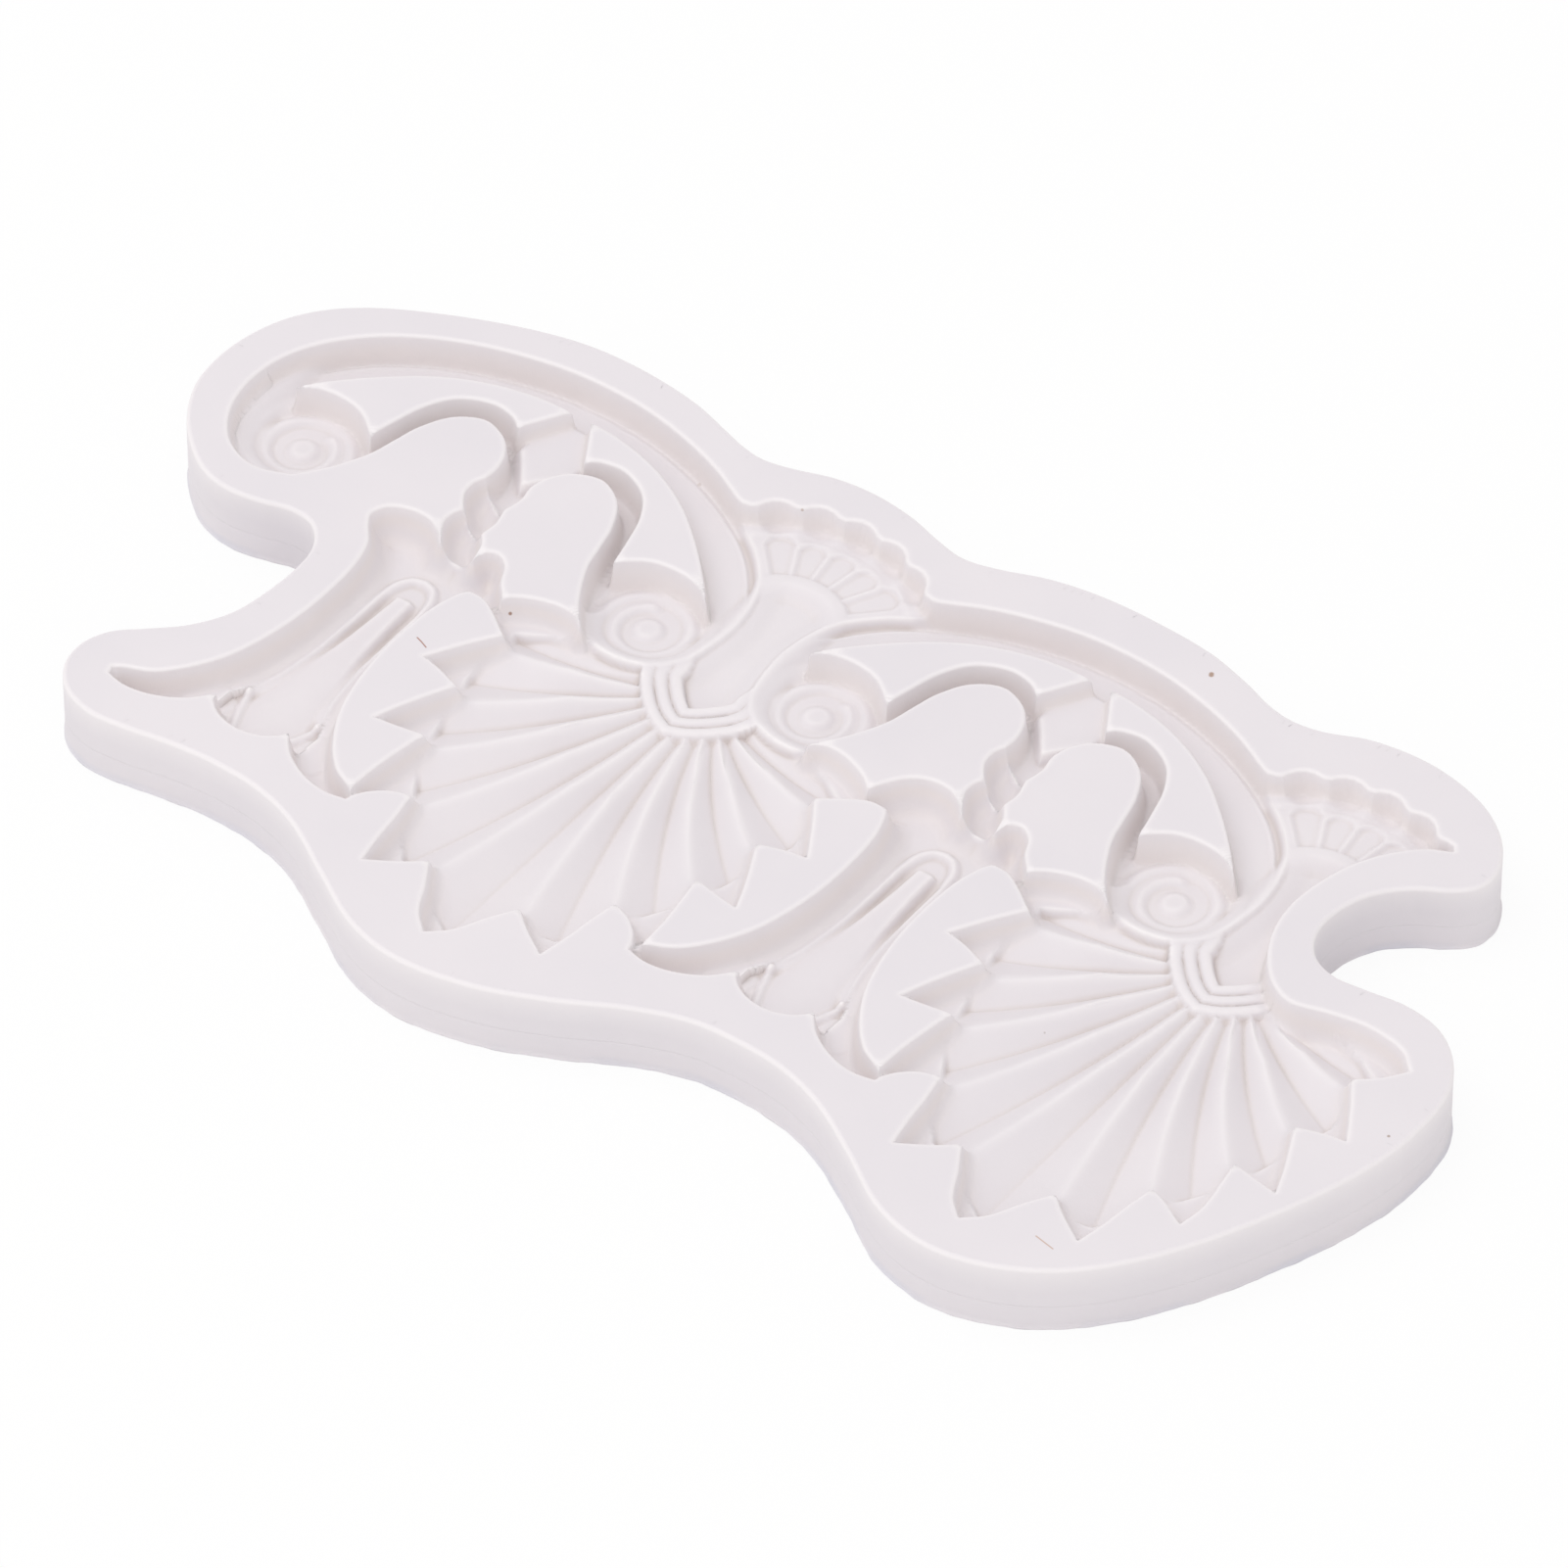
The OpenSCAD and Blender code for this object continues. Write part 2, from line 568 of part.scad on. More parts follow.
// Scroll work of one arch: the keeled band, the two stems and the lozenge between them.
// The volutes are turned discs that stand in round holes of this bed.
module scroll_bed(u) {
    difference() {
        bed()
            scroll_area(u);
        translate([u * pitch, 0]) {
            run(whole(band_keel), [for (p = whole(band_keel))
                channel(band_w * (p.y < 16 ? 0.55 : 1), groove_d * 0.8, groove_d * 0.3)]);
            both_sides(0) {
                run(stem_keel, [for (p = stem_keel)
                    channel(stem_w * (p.y < 14 ? 0.6 : 1), groove_d, groove_d * 0.4)]);
                volute_hole();
            }
            lozenge();
        }
    }
    intersection() {
        translate([u * pitch, 0])
            both_sides(0)
                run(bead_line, [for (p = bead_line) rib(rib_w * 0.7, rib_h * 0.6)]);
        cavity_over()
            scroll_area(u);
    }
}

// A kite-shaped hollow with four flat faces
module lozenge() {
    hull() {
        translate([0, 0, bed_z])
            linear_extrude(keel_lift)
                polygon(placed([for (i = [0 : 3]) lozenge_w * [sin(90 * i), 0]
                    + [0, lozenge_y[i]]]));
        translate([0, lozenge_y[1] * sy, bed_z - groove_d])
            cylinder(h = groove_d / 2, r1 = 0.05, r2 = 0.3, $fn = 4);
    }
}

function disc_r() = volute_r - disc_gap;

module volute_hole() {
    translate([volute_c.x * sx, volute_c.y * sy, base_z - 1])
        cylinder(h = bed_h + 2, r = disc_r() / cos(180 / hole_sides), $fn = hole_sides);
}

// One volute, turned round its eye: groove, ring, groove and domed eye
module volute(u, side) {
    disc = disc_r();
    out = ring_r + ring_w / 2;
    in = ring_r - ring_w / 2;
    translate([u * pitch + side * volute_c.x * sx, volute_c.y * sy, base_z])
        rotate_extrude($fn = 72)
            polygon(concat(
                [[0, 0], [disc, 0], [disc, bed_h], [(disc + out) / 2, bed_h - groove_d * 0.6]],
                [for (a = [0 : 20 : 180]) [ring_r + ring_w / 2 * cos(a), bed_h + rib_h * sin(a)]],
                [[(in + eye_r) / 2, bed_h - groove_d * 0.7]],
                [for (a = [0 : 15 : 90]) [eye_r * cos(a), bed_h + rib_h * sin(a)]]
            ));
}

// Twisted rope: one sunk bead for each turn
module rope_bed(u) {
    difference() {
        bed()
            rope_area(u);
        translate([u * pitch, 0])
            for (b = rope_beads)
                run([for (t = [-1 : 0.4 : 1]) b + t * bead_half],
                    [for (t = [-1 : 0.4 : 1]) bowl(bead_w * sqrt(1.1 - t * t), groove_d)]);
    }
}

// Pendant: a tapering tongue with a raised edge, deep side grooves and three sepals at the foot
module pendant_bed(u) {
    difference() {
        bed()
            pendant_area(u);
        translate([u * pitch, 0]) {
            run(tongue_keel, [for (w = tongue_share) channel(tongue_w * w, groove_d * 0.7, 0.1)]);
            both_sides(0)
                run(side_keel, [for (p = side_keel) channel(side_w, groove_d, groove_d * 0.5)]);
            for (p = sepals)
                sepal(p);
        }
    }
    intersection() {
        translate([u * pitch, 0])
            run(whole(tongue_edge), [for (p = whole(tongue_edge)) rib(rib_w, rib_h)]);
        cavity_over()
            pendant_area(u);
    }
}

module sepal(p) {
    hull()
        for (s = [0, 1])
            translate([p.x * (1 - 0.25 * s) * sx, (p.y + 1.4 * s) * sy, bed_z - groove_d * 0.6])
                cylinder(h = groove_d, r1 = 0.7, r2 = 1.3 - 0.4 * s, $fn = 16);
}

// Walls and islands
module rim() {
    translate([0, 0, base_z])
        linear_extrude(wall_h)
            difference() {
                mould_shape();
                field_shape();
            }
}

module island(edge, u) {
    translate([0, 0, base_z])
        linear_extrude(wall_h)
            drawn_shape(edge, u);
}

module base_sheet() {
    color(silicone)
        centred()
            linear_extrude(base_z)
                mould_shape();
}

module rim_wall() {
    color(silicone)
        centred()
            rim();
}

module crescent_1_left() {
    color(silicone)
        centred()
            island(mirror_x(crescent_edge()), 0);
}

module crescent_1_right() {
    color(silicone)
        centred()
            island(crescent_edge(), 0);
}

module crescent_2_left() {
    color(silicone)
        centred()
            island(mirror_x(crescent_edge()), 1);
}

module crescent_2_right() {
    color(silicone)
        centred()
            island(crescent_edge(), 1);
}

module bell_1_right() {
    color(silicone)
        centred()
            island(bell_right_edge(), 0);
}

module bell_2_left() {
    color(silicone)
        centred()
            island(bell_left_edge(), 1);
}

module bell_2_right() {
    color(silicone)
        centred()
            island(bell_right_edge(), 1);
}

module leaf_1_right() {
    color(silicone)
        centred()
            island(leaf_edge(), 0);
}

module leaf_2_left() {
    color(silicone)
        centred()
            island(mirror_x(leaf_edge()), 1);
}

module leaf_2_right() {
    color(silicone)
        centred()
            island(leaf_edge(), 1);
}

module scroll_bed_1() {
    color(silicone)
        centred()
            scroll_bed(0);
}

module scroll_bed_2() {
    color(silicone)
        centred()
            scroll_bed(1);
}

module volute_1_left() {
    color(silicone)
        centred()
            volute(0, -1);
}

module volute_1_right() {
    color(silicone)
        centred()
            volute(0, 1);
}

module volute_2_left() {
    color(silicone)
        centred()
            volute(1, -1);
}

module volute_2_right() {
    color(silicone)
        centred()
            volute(1, 1);
}

module rope_bed_1() {
    color(silicone)
        centred()
            rope_bed(0);
}

module rope_bed_2() {
    color(silicone)
        centred()
            rope_bed(1);
}

module pendant_bed_1() {
    color(silicone)
        centred()
            pendant_bed(0);
}

module pendant_bed_2() {
    color(silicone)
        centred()
            pendant_bed(1);
}

module palmette_bed_1() {
    color(silicone)
        centred()
            palmette_bed(0);
}

module palmette_bed_2() {
    color(silicone)
        centred()
            palmette_bed(1);
}

module collar_bed_1() {
    color(silicone)
        centred()
            collar_bed(0);
}

module collar_bed_2() {
    color(silicone)
        centred()
            collar_bed(1);
}

module shell_bed_1() {
    color(silicone)
        centred()
            shell_bed(0);
}

module shell_bed_2() {
    color(silicone)
        centred()
            shell_bed(1);
}

base_sheet();
rim_wall();
crescent_1_left();
crescent_1_right();
crescent_2_left();
crescent_2_right();
bell_1_right();
bell_2_left();
bell_2_right();
leaf_1_right();
leaf_2_left();
leaf_2_right();
scroll_bed_1();
scroll_bed_2();
volute_1_left();
volute_1_right();
volute_2_left();
volute_2_right();
rope_bed_1();
rope_bed_2();
pendant_bed_1();
pendant_bed_2();
palmette_bed_1();
palmette_bed_2();
collar_bed_1();
collar_bed_2();
shell_bed_1();
shell_bed_2();
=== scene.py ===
"""Looks of the open silicone mould for one border of arches, palmettes, shells and pendants.

The relief is one height field over the face of the mould, cut along the same lines as the
solids of the frame, so each named piece meets its neighbours without a step.
Lengths in this file are millimetres in the frame of the ornament, whose origin is the foot of
the first arch axis, and become metres in the frame of the part when a mesh is made.
"""
import math
import bmesh
import bpy
import numpy as np
from mathutils import Matrix, Vector


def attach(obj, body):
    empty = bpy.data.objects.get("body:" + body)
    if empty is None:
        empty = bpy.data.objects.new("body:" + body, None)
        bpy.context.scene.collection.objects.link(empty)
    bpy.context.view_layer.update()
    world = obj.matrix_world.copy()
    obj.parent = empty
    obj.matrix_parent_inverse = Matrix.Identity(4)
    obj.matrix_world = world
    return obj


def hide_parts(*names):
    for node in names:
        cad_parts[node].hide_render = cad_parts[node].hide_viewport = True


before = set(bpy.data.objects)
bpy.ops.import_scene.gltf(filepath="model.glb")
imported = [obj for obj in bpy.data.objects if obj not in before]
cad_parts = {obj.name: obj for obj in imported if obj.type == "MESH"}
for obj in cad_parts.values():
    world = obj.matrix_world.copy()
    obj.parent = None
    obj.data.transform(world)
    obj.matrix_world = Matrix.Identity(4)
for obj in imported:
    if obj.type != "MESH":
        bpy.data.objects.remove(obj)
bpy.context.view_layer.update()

# Middle of the mould in the frame of the ornament, and levels of the top face and of the top of
# the base sheet
MID = np.array([44.8075, -0.7])
TOP = 8.0
SHEET = 3.4
# Length of one repeat, place of its palmette axis, and numbers of the repeats
PITCH = 64.0
HALF = PITCH / 2
UNITS = (0, 1)
# Size of the grid's cells, and how strongly and how far the grid is drawn towards the walls
CELL = 0.178
PULL, PULL_REACH = 0.85, 0.9
# Radius of the lip of the cavity and of the outer edge, and width of the strip of the relief
# that belongs to a wall's own piece
ROUND = 0.38
LIP = 0.5
WALL_STRIP = 0.62
# Distance below which two points count as one, and angle at which the edge of the second shell
# meets the open neck
SAME = 0.05
LAST_LOBE = 30.0

# -------------------------------------------------------------------------
# Outlines of half a repeat, from an arch axis at x = 0 to a palmette axis at x = 32. A third
# value of 1 marks a sharp corner, every other point lies on a smooth curve.
# -------------------------------------------------------------------------
ARCH_TOP = [[0, 34.8], [5, 34.5], [10, 33.5], [15, 31.9], [19.6, 29.7]]
ARCH_LOW = [[19.6, 29.7], [24, 26.6], [27.4, 22.7], [29.3, 18.6], [29.7, 14],
    [28.7, 10], [26.6, 6.9], [24, 5.3], [21.3, 4.9]]
ARCH_IN = [[1.2, 29.9, 1], [4, 29.8], [8, 29.1], [12, 27.7], [16, 25.5],
    [20, 22.3], [23.2, 19.2], [25.6, 16.5, 1]]
VOLUTE_LIP = [[25.6, 16.5, 1], [23.8, 17.4], [21.3, 17.8], [18.2, 17.3], [15.2, 15.2, 1]]
STEM_OUT = [[15.2, 15.2, 1], [14.5, 18.2], [13.4, 21.8], [11.5, 24.6], [8.3, 26.1],
    [5.6, 25.8], [4.2, 24.9, 1]]
STEM_IN = [[18, 6.1, 1], [16.3, 8.2], [14.9, 10.5], [13.6, 13.3], [12.9, 16.2],
    [12.1, 19.2], [10.3, 22.3], [7.4, 23.9], [4.6, 23.1], [2.8, 21.2], [2.1, 18.9]]
ROPE_RIGHT = [[2.1, 18.9], [2.4, 16.8], [2, 14.6, 1], [2.5, 12.5], [2.3, 10.6, 1],
    [3.3, 9.2], [3.8, 7.3, 1]]
ROPE_LEFT = [[-2.1, 18.9], [-2.2, 17.2, 1], [-2.7, 15.9], [-2.5, 14.2], [-1.2, 12.3, 1],
    [-1.7, 11], [-1.6, 9.7], [-0.3, 7.3, 1]]
LOBE_RIGHT = [[3.8, 7.3, 1], [4.3, 8.6], [5.6, 9.1], [7, 8.2], [8, 6.3], [9.6, 4.5, 1]]
LOBE_LEFT = [[-0.3, 7.3, 1], [-1.5, 8.3], [-3.2, 9.1], [-5.4, 9], [-7.4, 7.8], [-9.6, 4.5, 1]]
PETAL_A = [[9.6, 4.5, 1], [11.3, 5.7], [14, 6.7], [16.6, 6.8], [18, 6.1, 1]]
LEAF_TOP = [[6.4, 3.4, 1], [8.3, 3.3], [10.2, 2.3], [13, 0.3, 1]]
PETALS_BCD = [[13, 0.3, 1], [11.3, -2.2], [9.9, -4.5], [8.6, -6.7, 1], [10.8, -7.1],
    [13.7, -8.1, 1], [12.3, -10.9], [11.1, -13.5], [10, -16.3, 1], [12.6, -15.9],
    [15.4, -15.4, 1], [14.9, -18.3], [14.4, -22]]
PENDANT_SIDE = [[14.2, -25.7, 1], [11.3, -24.3], [8.8, -21.6], [6.7, -17.9], [5.4, -13.5],
    [4.7, -8.5], [4.65, -4], [4.95, -0.5], [5.7, 2.2], [6.4, 3.4, 1]]
PETALS_EF = [[32, -36.9, 1], [30, -35], [28.3, -31.8], [26.5, -28.9, 1], [24.2, -30.7],
    [21.2, -32.6, 1], [20.6, -29.3], [20.2, -26], [19.6, -22.8, 1], [17.4, -23.6], [15.8, -24.9]]
PENDANT_FOOT = [[14.9, -26.2, 1], [14.7, -27, 1], [12.4, -27.4], [9.6, -26.9], [6.6, -25.3],
    [4.5, -23, 1], [4.1, -23.9], [2.4, -25.1], [0, -25.6]]
# Ends of the strip: the left side of the first pendant, and the open neck and last petals
PENDANT_END = [[-14.9, -26.2, 1], [-14.2, -25.7], [-11.3, -24.3], [-8.8, -21.6], [-6.7, -17.9],
    [-5.4, -13.5], [-4.7, -8.5], [-4.6, -4], [-4.9, -0.2], [-5.8, 2.9], [-7.4, 5],
    [-8.1, 6.4], [-7.4, 8], [-5.4, 9], [-3.2, 9.1], [-1.5, 8.3], [-0.3, 7.3, 1]]
NECK_END = [[105, 31.5, 1], [102.6, 30.2], [99.8, 27.2], [97.9, 23.6], [96.9, 19.8],
    [96.6, 16.2], [97.2, 12.6], [98.8, 9.2], [101.2, 6.5], [104.2, 5.2], [108.2, 6.2],
    [112.4, 6.9], [116.6, 6.3], [118.8, 4.5, 1], [117.3, 2.4], [115, 0.3, 1]]
PETAL_D_END = [[113.6, -22], [113.2, -25, 1], [112.2, -24.5], [110.6, -23.6], [108.4, -22.8, 1]]
OUTLINE = [[-34.7, 15], [-34.2, 19.7], [-32.7, 23.9], [-30, 27.6], [-26.2, 30.7], [-21, 33.6],
    [-15, 36.3], [-9, 38.3], [-4, 39.2], [2, 39.3], [8, 38.6], [12.5, 37.3], [15.5, 36.4],
    [18.2, 36.1], [21.3, 36.8], [25.5, 38.2], [30, 38.7], [35, 38.2], [39, 37.1], [42.5, 36.5],
    [46, 37.3], [51, 39.2], [56.5, 40.3], [63, 40.6], [70, 40.2], [75.5, 38.8], [79, 37.6],
    [82, 37.2], [85.2, 37.8], [89.5, 39.6], [95, 40.4], [100, 39.9], [104.4, 38.4],
    [108, 35.7], [110.1, 32.2], [110.2, 29.3], [108.4, 27], [105, 24.8], [102.3, 21.9],
    [101, 18.5], [101, 14.8], [102.6, 12.1], [105.5, 10.9], [109, 11.2], [113.5, 11.8],
    [118, 11], [121.6, 8.2], [123.8, 4], [124.3, -2], [123.5, -8], [121.7, -14], [119.3, -20],
    [116.4, -26], [112.6, -32], [108, -37], [102, -40.6], [95.5, -42], [89, -40.6],
    [82.5, -36.6], [76.5, -33.2], [71, -31.4], [65.5, -31], [60, -31.5], [54, -33.8],
    [47.5, -37.3], [40, -40.4], [32, -41.7], [25.5, -40.4], [19, -36.8], [12.5, -33], [7, -31.3],
    [1, -31], [-4, -31.5], [-9, -32.4], [-13, -32.7], [-16.8, -31.4], [-19.2, -28.6],
    [-19.7, -25.4], [-18.5, -22.3], [-16, -19.9], [-12.9, -16.9], [-10.6, -13], [-9.7, -8.5],
    [-9.5, -4], [-10.1, -0.8], [-12, 1.4], [-14.8, 1.8], [-18.5, 0.8], [-22, 0.4],
    [-25.3, 1.1], [-28.6, 3.2], [-31.8, 6.5], [-34, 10.6]]

# Paths of the relief, on the same half repeat: the fold between band and shell or palmette, the
# eye of a volute, the centre of the fan, the V of the collar, and the shell's scalloped edge
# with its centre, radius, last angle, angle between two lobes and bulge
FOLD = [[19.6, 30.3], [20.9, 29.0], [24.1, 26.7], [26.7, 23.9], [28.2, 20.8], [28.9, 16.8],
    [28.6, 13.1], [27.9, 10.2], [26.5, 8.2], [24.5, 6.9], [21.7, 6.3], [18.6, 6.7],
    [16.3, 8.3], [15.2, 10.2]]
VOLUTE = np.array([21.6, 12.4])
FAN = np.array([HALF, 20.0])
COLLAR = [[24.6, 9.2], [25.1, 6.6], [27.2, 3.9], [29.6, 1.9], [32, 0.8]]
SHELL = dict(c=np.array([HALF, 17.0193]), r=16.4, end=43.076, step=15.6, bulge=1.0)
# Root, bend and tip of each petal's keel, and of each rib between two petals
PETALS = [
    [[26.2, 6.0], [19.5, 3.4], [12.2, 3.3]],
    [[26.6, 4.4], [20.6, -0.6], [12.2, -4.3]],
    [[27.5, 3.1], [22, -5.2], [14.1, -11.8]],
    [[28.8, 1.9], [24.9, -9], [17.4, -19.6]],
    [[30.3, 1], [28.2, -13], [22.6, -28.3]],
    [[32, 0.6], [32, -16], [32, -33.8]],
]
RIBS = [
    [[26, 5.4], [20, 1.4], [13.2, 0.4]],
    [[26.6, 3.8], [21.2, -3], [14.0, -8.2]],
    [[27.8, 2.4], [23.6, -7.6], [15.7, -15.5]],
    [[29.4, 1.4], [26.4, -11.6], [19.7, -22.8]],
    [[31.1, 0.8], [30.1, -14], [26.5, -28.9]],
]
# Notch, tip, notch, tip ... of the valleys, from the volute to the palmette axis
TIPS = [[18.6, 5.9], [12.2, 3.3], [13.1, 0.2], [12.2, -4.3], [13.9, -8.1], [14.1, -11.8],
    [15.6, -15.4], [17.4, -19.6], [19.9, -22.7], [22.6, -28.3], [26.6, -28.7], [32, -33.8]]
# On the right of an arch axis: stem, outline of the pendant's groove with its round head, the
# rib at the tongue's foot, and the crests of the rope from left to right
STEM = [[4.4, 24], [6.6, 25], [9.3, 24.5], [11.6, 22.3], [12.9, 18.9], [13.9, 15.2], [15.0, 12.4]]
GROOVE = [[0, 4.4], [1.2, 4.0], [2.1, 2.6], [2.4, 0.4], [2.45, -4], [2.6, -9], [3.3, -14.5],
    [4.3, -18.2]]
FOOT_RIB = [[4.3, -18.2], [3.7, -20.4], [2.3, -23.8]]
SADDLES = [[[-2.2, 17.2], [2.0, 14.6]], [[-1.2, 12.3], [2.3, 10.6]], [[-0.3, 7.3], [3.8, 7.3]]]

# -------------------------------------------------------------------------
# Curves
# -------------------------------------------------------------------------
def sharp(p):
    return len(p) > 2


def loop(points, step=0.35, closed=True):
    """Cubic pieces through the points: the tangent at a smooth point is the chord between its
    neighbours over the length of the two chords, and at a corner it is the chord itself."""
    n = len(points)
    out = []
    for i in range(n if closed else n - 1):
        p, a, b, q = (np.array(points[j % n][:2], float) for j in (i - 1, i, i + 1, i + 2))
        d = b - a
        size = np.linalg.norm(d)
        first = sharp(points[i]) or (not closed and i == 0)
        last = sharp(points[(i + 1) % n]) or (not closed and i == n - 2)
        ta = d if first else size * (b - p) / (np.linalg.norm(a - p) + size)
        tb = d if last else size * (q - a) / (size + np.linalg.norm(q - b))
        m = max(1, round(size / step))
        s = (np.arange(m) / m)[:, None]
        out.append((2 * s**3 - 3 * s**2 + 1) * a + (s**3 - 2 * s**2 + s) * ta
                   + (3 * s**2 - 2 * s**3) * b + (s**3 - s**2) * tb)
    out = np.concatenate(out)
    return np.concatenate([out, out[:1] if closed else [points[-1][:2]]])


def mirror_x(points, axis=0.0):
    return [[2 * axis - p[0], *p[1:]] for p in points]


def mirrored(points, axis=0.0):
    return mirror_x(points[::-1], axis)


def moved(points, dx):
    return [[p[0] + dx, *p[1:]] for p in points]


def joined(*lists):
    """Lists end to end. A point met twice is kept once, as a corner if either was one."""
    flat = [p for part in lists for p in part]
    out = []
    for i, p in enumerate(flat):
        ahead = flat[(i + 1) % len(flat)]
        if math.dist(p[:2], flat[i - 1][:2]) < SAME:
            continue
        out.append(ahead if math.dist(p[:2], ahead[:2]) < SAME and sharp(ahead) else p)
    return out


def lobes(turns):
    """Size of the cosine that swells between two cusps of the shell, at angles in degrees."""
    return np.abs(np.cos(np.pi * turns / SHELL["step"]))


def scallops(unit, last):
    """The shell's edge from the left: its radius grows by the bulge times the lobes."""
    turns = np.arange(-SHELL["end"], last + 1e-6, SHELL["step"] / 6)
    r = SHELL["r"] + SHELL["bulge"] * lobes(turns)
    x = SHELL["c"][0] + PITCH * unit + r * np.sin(np.radians(turns))
    y = SHELL["c"][1] + r * np.cos(np.radians(turns))
    return [[a, b, 1] for a, b in zip(x, y)]


def bend(k, n=24):
    """Quadratic Bezier curve from root to tip with one control point."""
    s = np.linspace(0, 1, n)[:, None]
    a, b, c = (np.array(q, float) for q in k)
    return (1 - s) ** 2 * a + 2 * s * (1 - s) * b + s**2 * c


def field_edge():
    """Edge of the cavity, clockwise from the foot of the first arch."""
    return joined(
        mirrored(ARCH_LOW), mirrored(ARCH_TOP), ARCH_TOP, scallops(0, SHELL["end"]),
        moved(mirrored(ARCH_TOP), PITCH), moved(ARCH_TOP, PITCH), scallops(1, LAST_LOBE),
        NECK_END, mirror_x(PETALS_BCD[1:-1], PITCH), PETAL_D_END,
        moved(mirror_x(PETALS_EF[7::-1], HALF), PITCH),
        moved(PETALS_EF, PITCH), moved(PENDANT_FOOT, PITCH),
        mirrored(PENDANT_FOOT, HALF), mirrored(PETALS_EF, HALF), PETALS_EF, PENDANT_FOOT,
        mirrored(PENDANT_FOOT), PENDANT_END, ROPE_LEFT[::-1], mirrored(STEM_IN))


def islands():
    """Edges of the islands. The rim takes the place of the first bell and leaf on the left."""
    crescent = joined(ARCH_IN, VOLUTE_LIP, STEM_OUT)
    bell = joined(STEM_IN, ROPE_RIGHT, LOBE_RIGHT, PETAL_A)
    bell_left = joined(mirror_x(STEM_IN), ROPE_LEFT, LOBE_LEFT, mirror_x(PETAL_A))
    leaf = joined(LEAF_TOP, PETALS_BCD, PENDANT_SIDE)
    return {
        "crescent_1_left": mirror_x(crescent),
        "crescent_1_right": crescent,
        "crescent_2_left": moved(mirror_x(crescent), PITCH),
        "crescent_2_right": moved(crescent, PITCH),
        "bell_1_right": bell,
        "bell_2_left": moved(bell_left, PITCH),
        "bell_2_right": moved(bell, PITCH),
        "leaf_1_right": leaf,
        "leaf_2_left": moved(mirror_x(leaf), PITCH),
        "leaf_2_right": moved(leaf, PITCH),
    }


def at_both_sides(points, step=0.4):
    """A path of the right half of an arch, cut fine, on both halves of both arches."""
    return [loop(moved(points if right else mirrored(points), u * PITCH), step, False)
            for u in UNITS for right in (True, False)]


def at_both_units(path):
    """A path of the first repeat, on both repeats."""
    return [path, path + [PITCH, 0]]


def reflected(path):
    """A path on the other side of the first palmette axis."""
    return np.array([PITCH, 0]) + path * [-1, 1]


def fanned(curves):
    """Bent curves of the left half of a palmette, on both halves of both palmettes."""
    return [copy + [PITCH * u, 0] for c in curves for u in UNITS
            for copy in (bend(c), reflected(bend(c)))]


# -------------------------------------------------------------------------
# The grid over the face of the mould, and fields worked out on it
# -------------------------------------------------------------------------
edge = loop(OUTLINE, 0.3)
LOW = edge.min(0) - 2.5 * CELL
NX, NY = (np.ceil((edge.max(0) - LOW) / CELL) + 3).astype(int)
PX, PY = np.meshgrid(LOW[0] + CELL * np.arange(NX), LOW[1] + CELL * np.arange(NY))


def window(a, b, reach):
    """Slices of the grid within reach of the length from a to b, with room for the drawing of
    the grid towards the walls."""
    lo = np.minimum(a, b) - reach - PULL_REACH
    hi = np.maximum(a, b) + reach + PULL_REACH
    i = np.clip(((lo - LOW) / CELL).astype(int), 0, [NX, NY])
    j = np.clip(((hi - LOW) / CELL).astype(int) + 2, 0, [NX, NY])
    return slice(i[1], j[1]), slice(i[0], j[0])


class Path:
    """Distance from each grid point to its nearest place on some paths, with that place, the
    share of the path's length there and the number of the path. Each straight length is tried
    in the window of the grid that it can reach."""

    def __init__(self, paths, reach):
        self.dist = np.full(PX.shape, float(reach))
        self.x, self.y, self.share = PX.copy(), PY.copy(), np.zeros(PX.shape)
        self.which = np.full(PX.shape, -1)
        for k, path in enumerate(paths):
            path = np.asarray(path, float)
            run = run_along(path)
            for i, (a, b) in enumerate(zip(path[:-1], path[1:])):
                d = b - a
                size = d @ d
                if size < 1e-12:
                    continue
                w = window(a, b, reach)
                ux, uy = PX[w] - a[0], PY[w] - a[1]
                t = np.clip((ux * d[0] + uy * d[1]) / size, 0, 1)
                x, y = t * d[0], t * d[1]
                r = np.hypot(ux - x, uy - y)
                near = r < self.dist[w]
                if not near.any():
                    continue
                share = (run[i] + t * (run[i + 1] - run[i])) / run[-1]
                for field, value in ((self.dist, r), (self.x, a[0] + x), (self.y, a[1] + y),
                                     (self.share, share), (self.which, k)):
                    field[w] = np.where(near, value, field[w])


def run_along(path):
    """Length of a path from its start to each of its points."""
    return np.concatenate([[0], np.cumsum(np.linalg.norm(np.diff(path, axis=0), axis=1))])


def inside(path):
    """Even-odd rule: each length flips the grid points of its rows that lie right of it."""
    path = np.asarray(path, float)[:, :2]
    flips = np.zeros((NY, NX + 1), int)
    for a, b in zip(path, np.roll(path, -1, axis=0)):
        rows = (np.array([a[1], b[1]]) - LOW[1]) / CELL
        j = np.arange(max(0, math.ceil(min(rows))), min(NY, math.ceil(max(rows))))
        if len(j) == 0:
            continue
        x = a[0] + (b[0] - a[0]) * (LOW[1] + j * CELL - a[1]) / (b[1] - a[1])
        np.add.at(flips, (j, np.clip(np.ceil((x - LOW[0]) / CELL).astype(int), 0, NX)), 1)
    return np.cumsum(flips, axis=1)[:, :NX] % 2 == 1


def ease(t, lo=0.0, hi=1.0):
    """Smooth step from 0 at lo to 1 at hi."""
    t = np.clip((t - lo) / (hi - lo), 0, 1)
    return t * t * (3 - 2 * t)


def fade(t, lo, hi):
    """Smooth step from 1 at lo to 0 at hi."""
    return ease(-t, -hi, -lo)


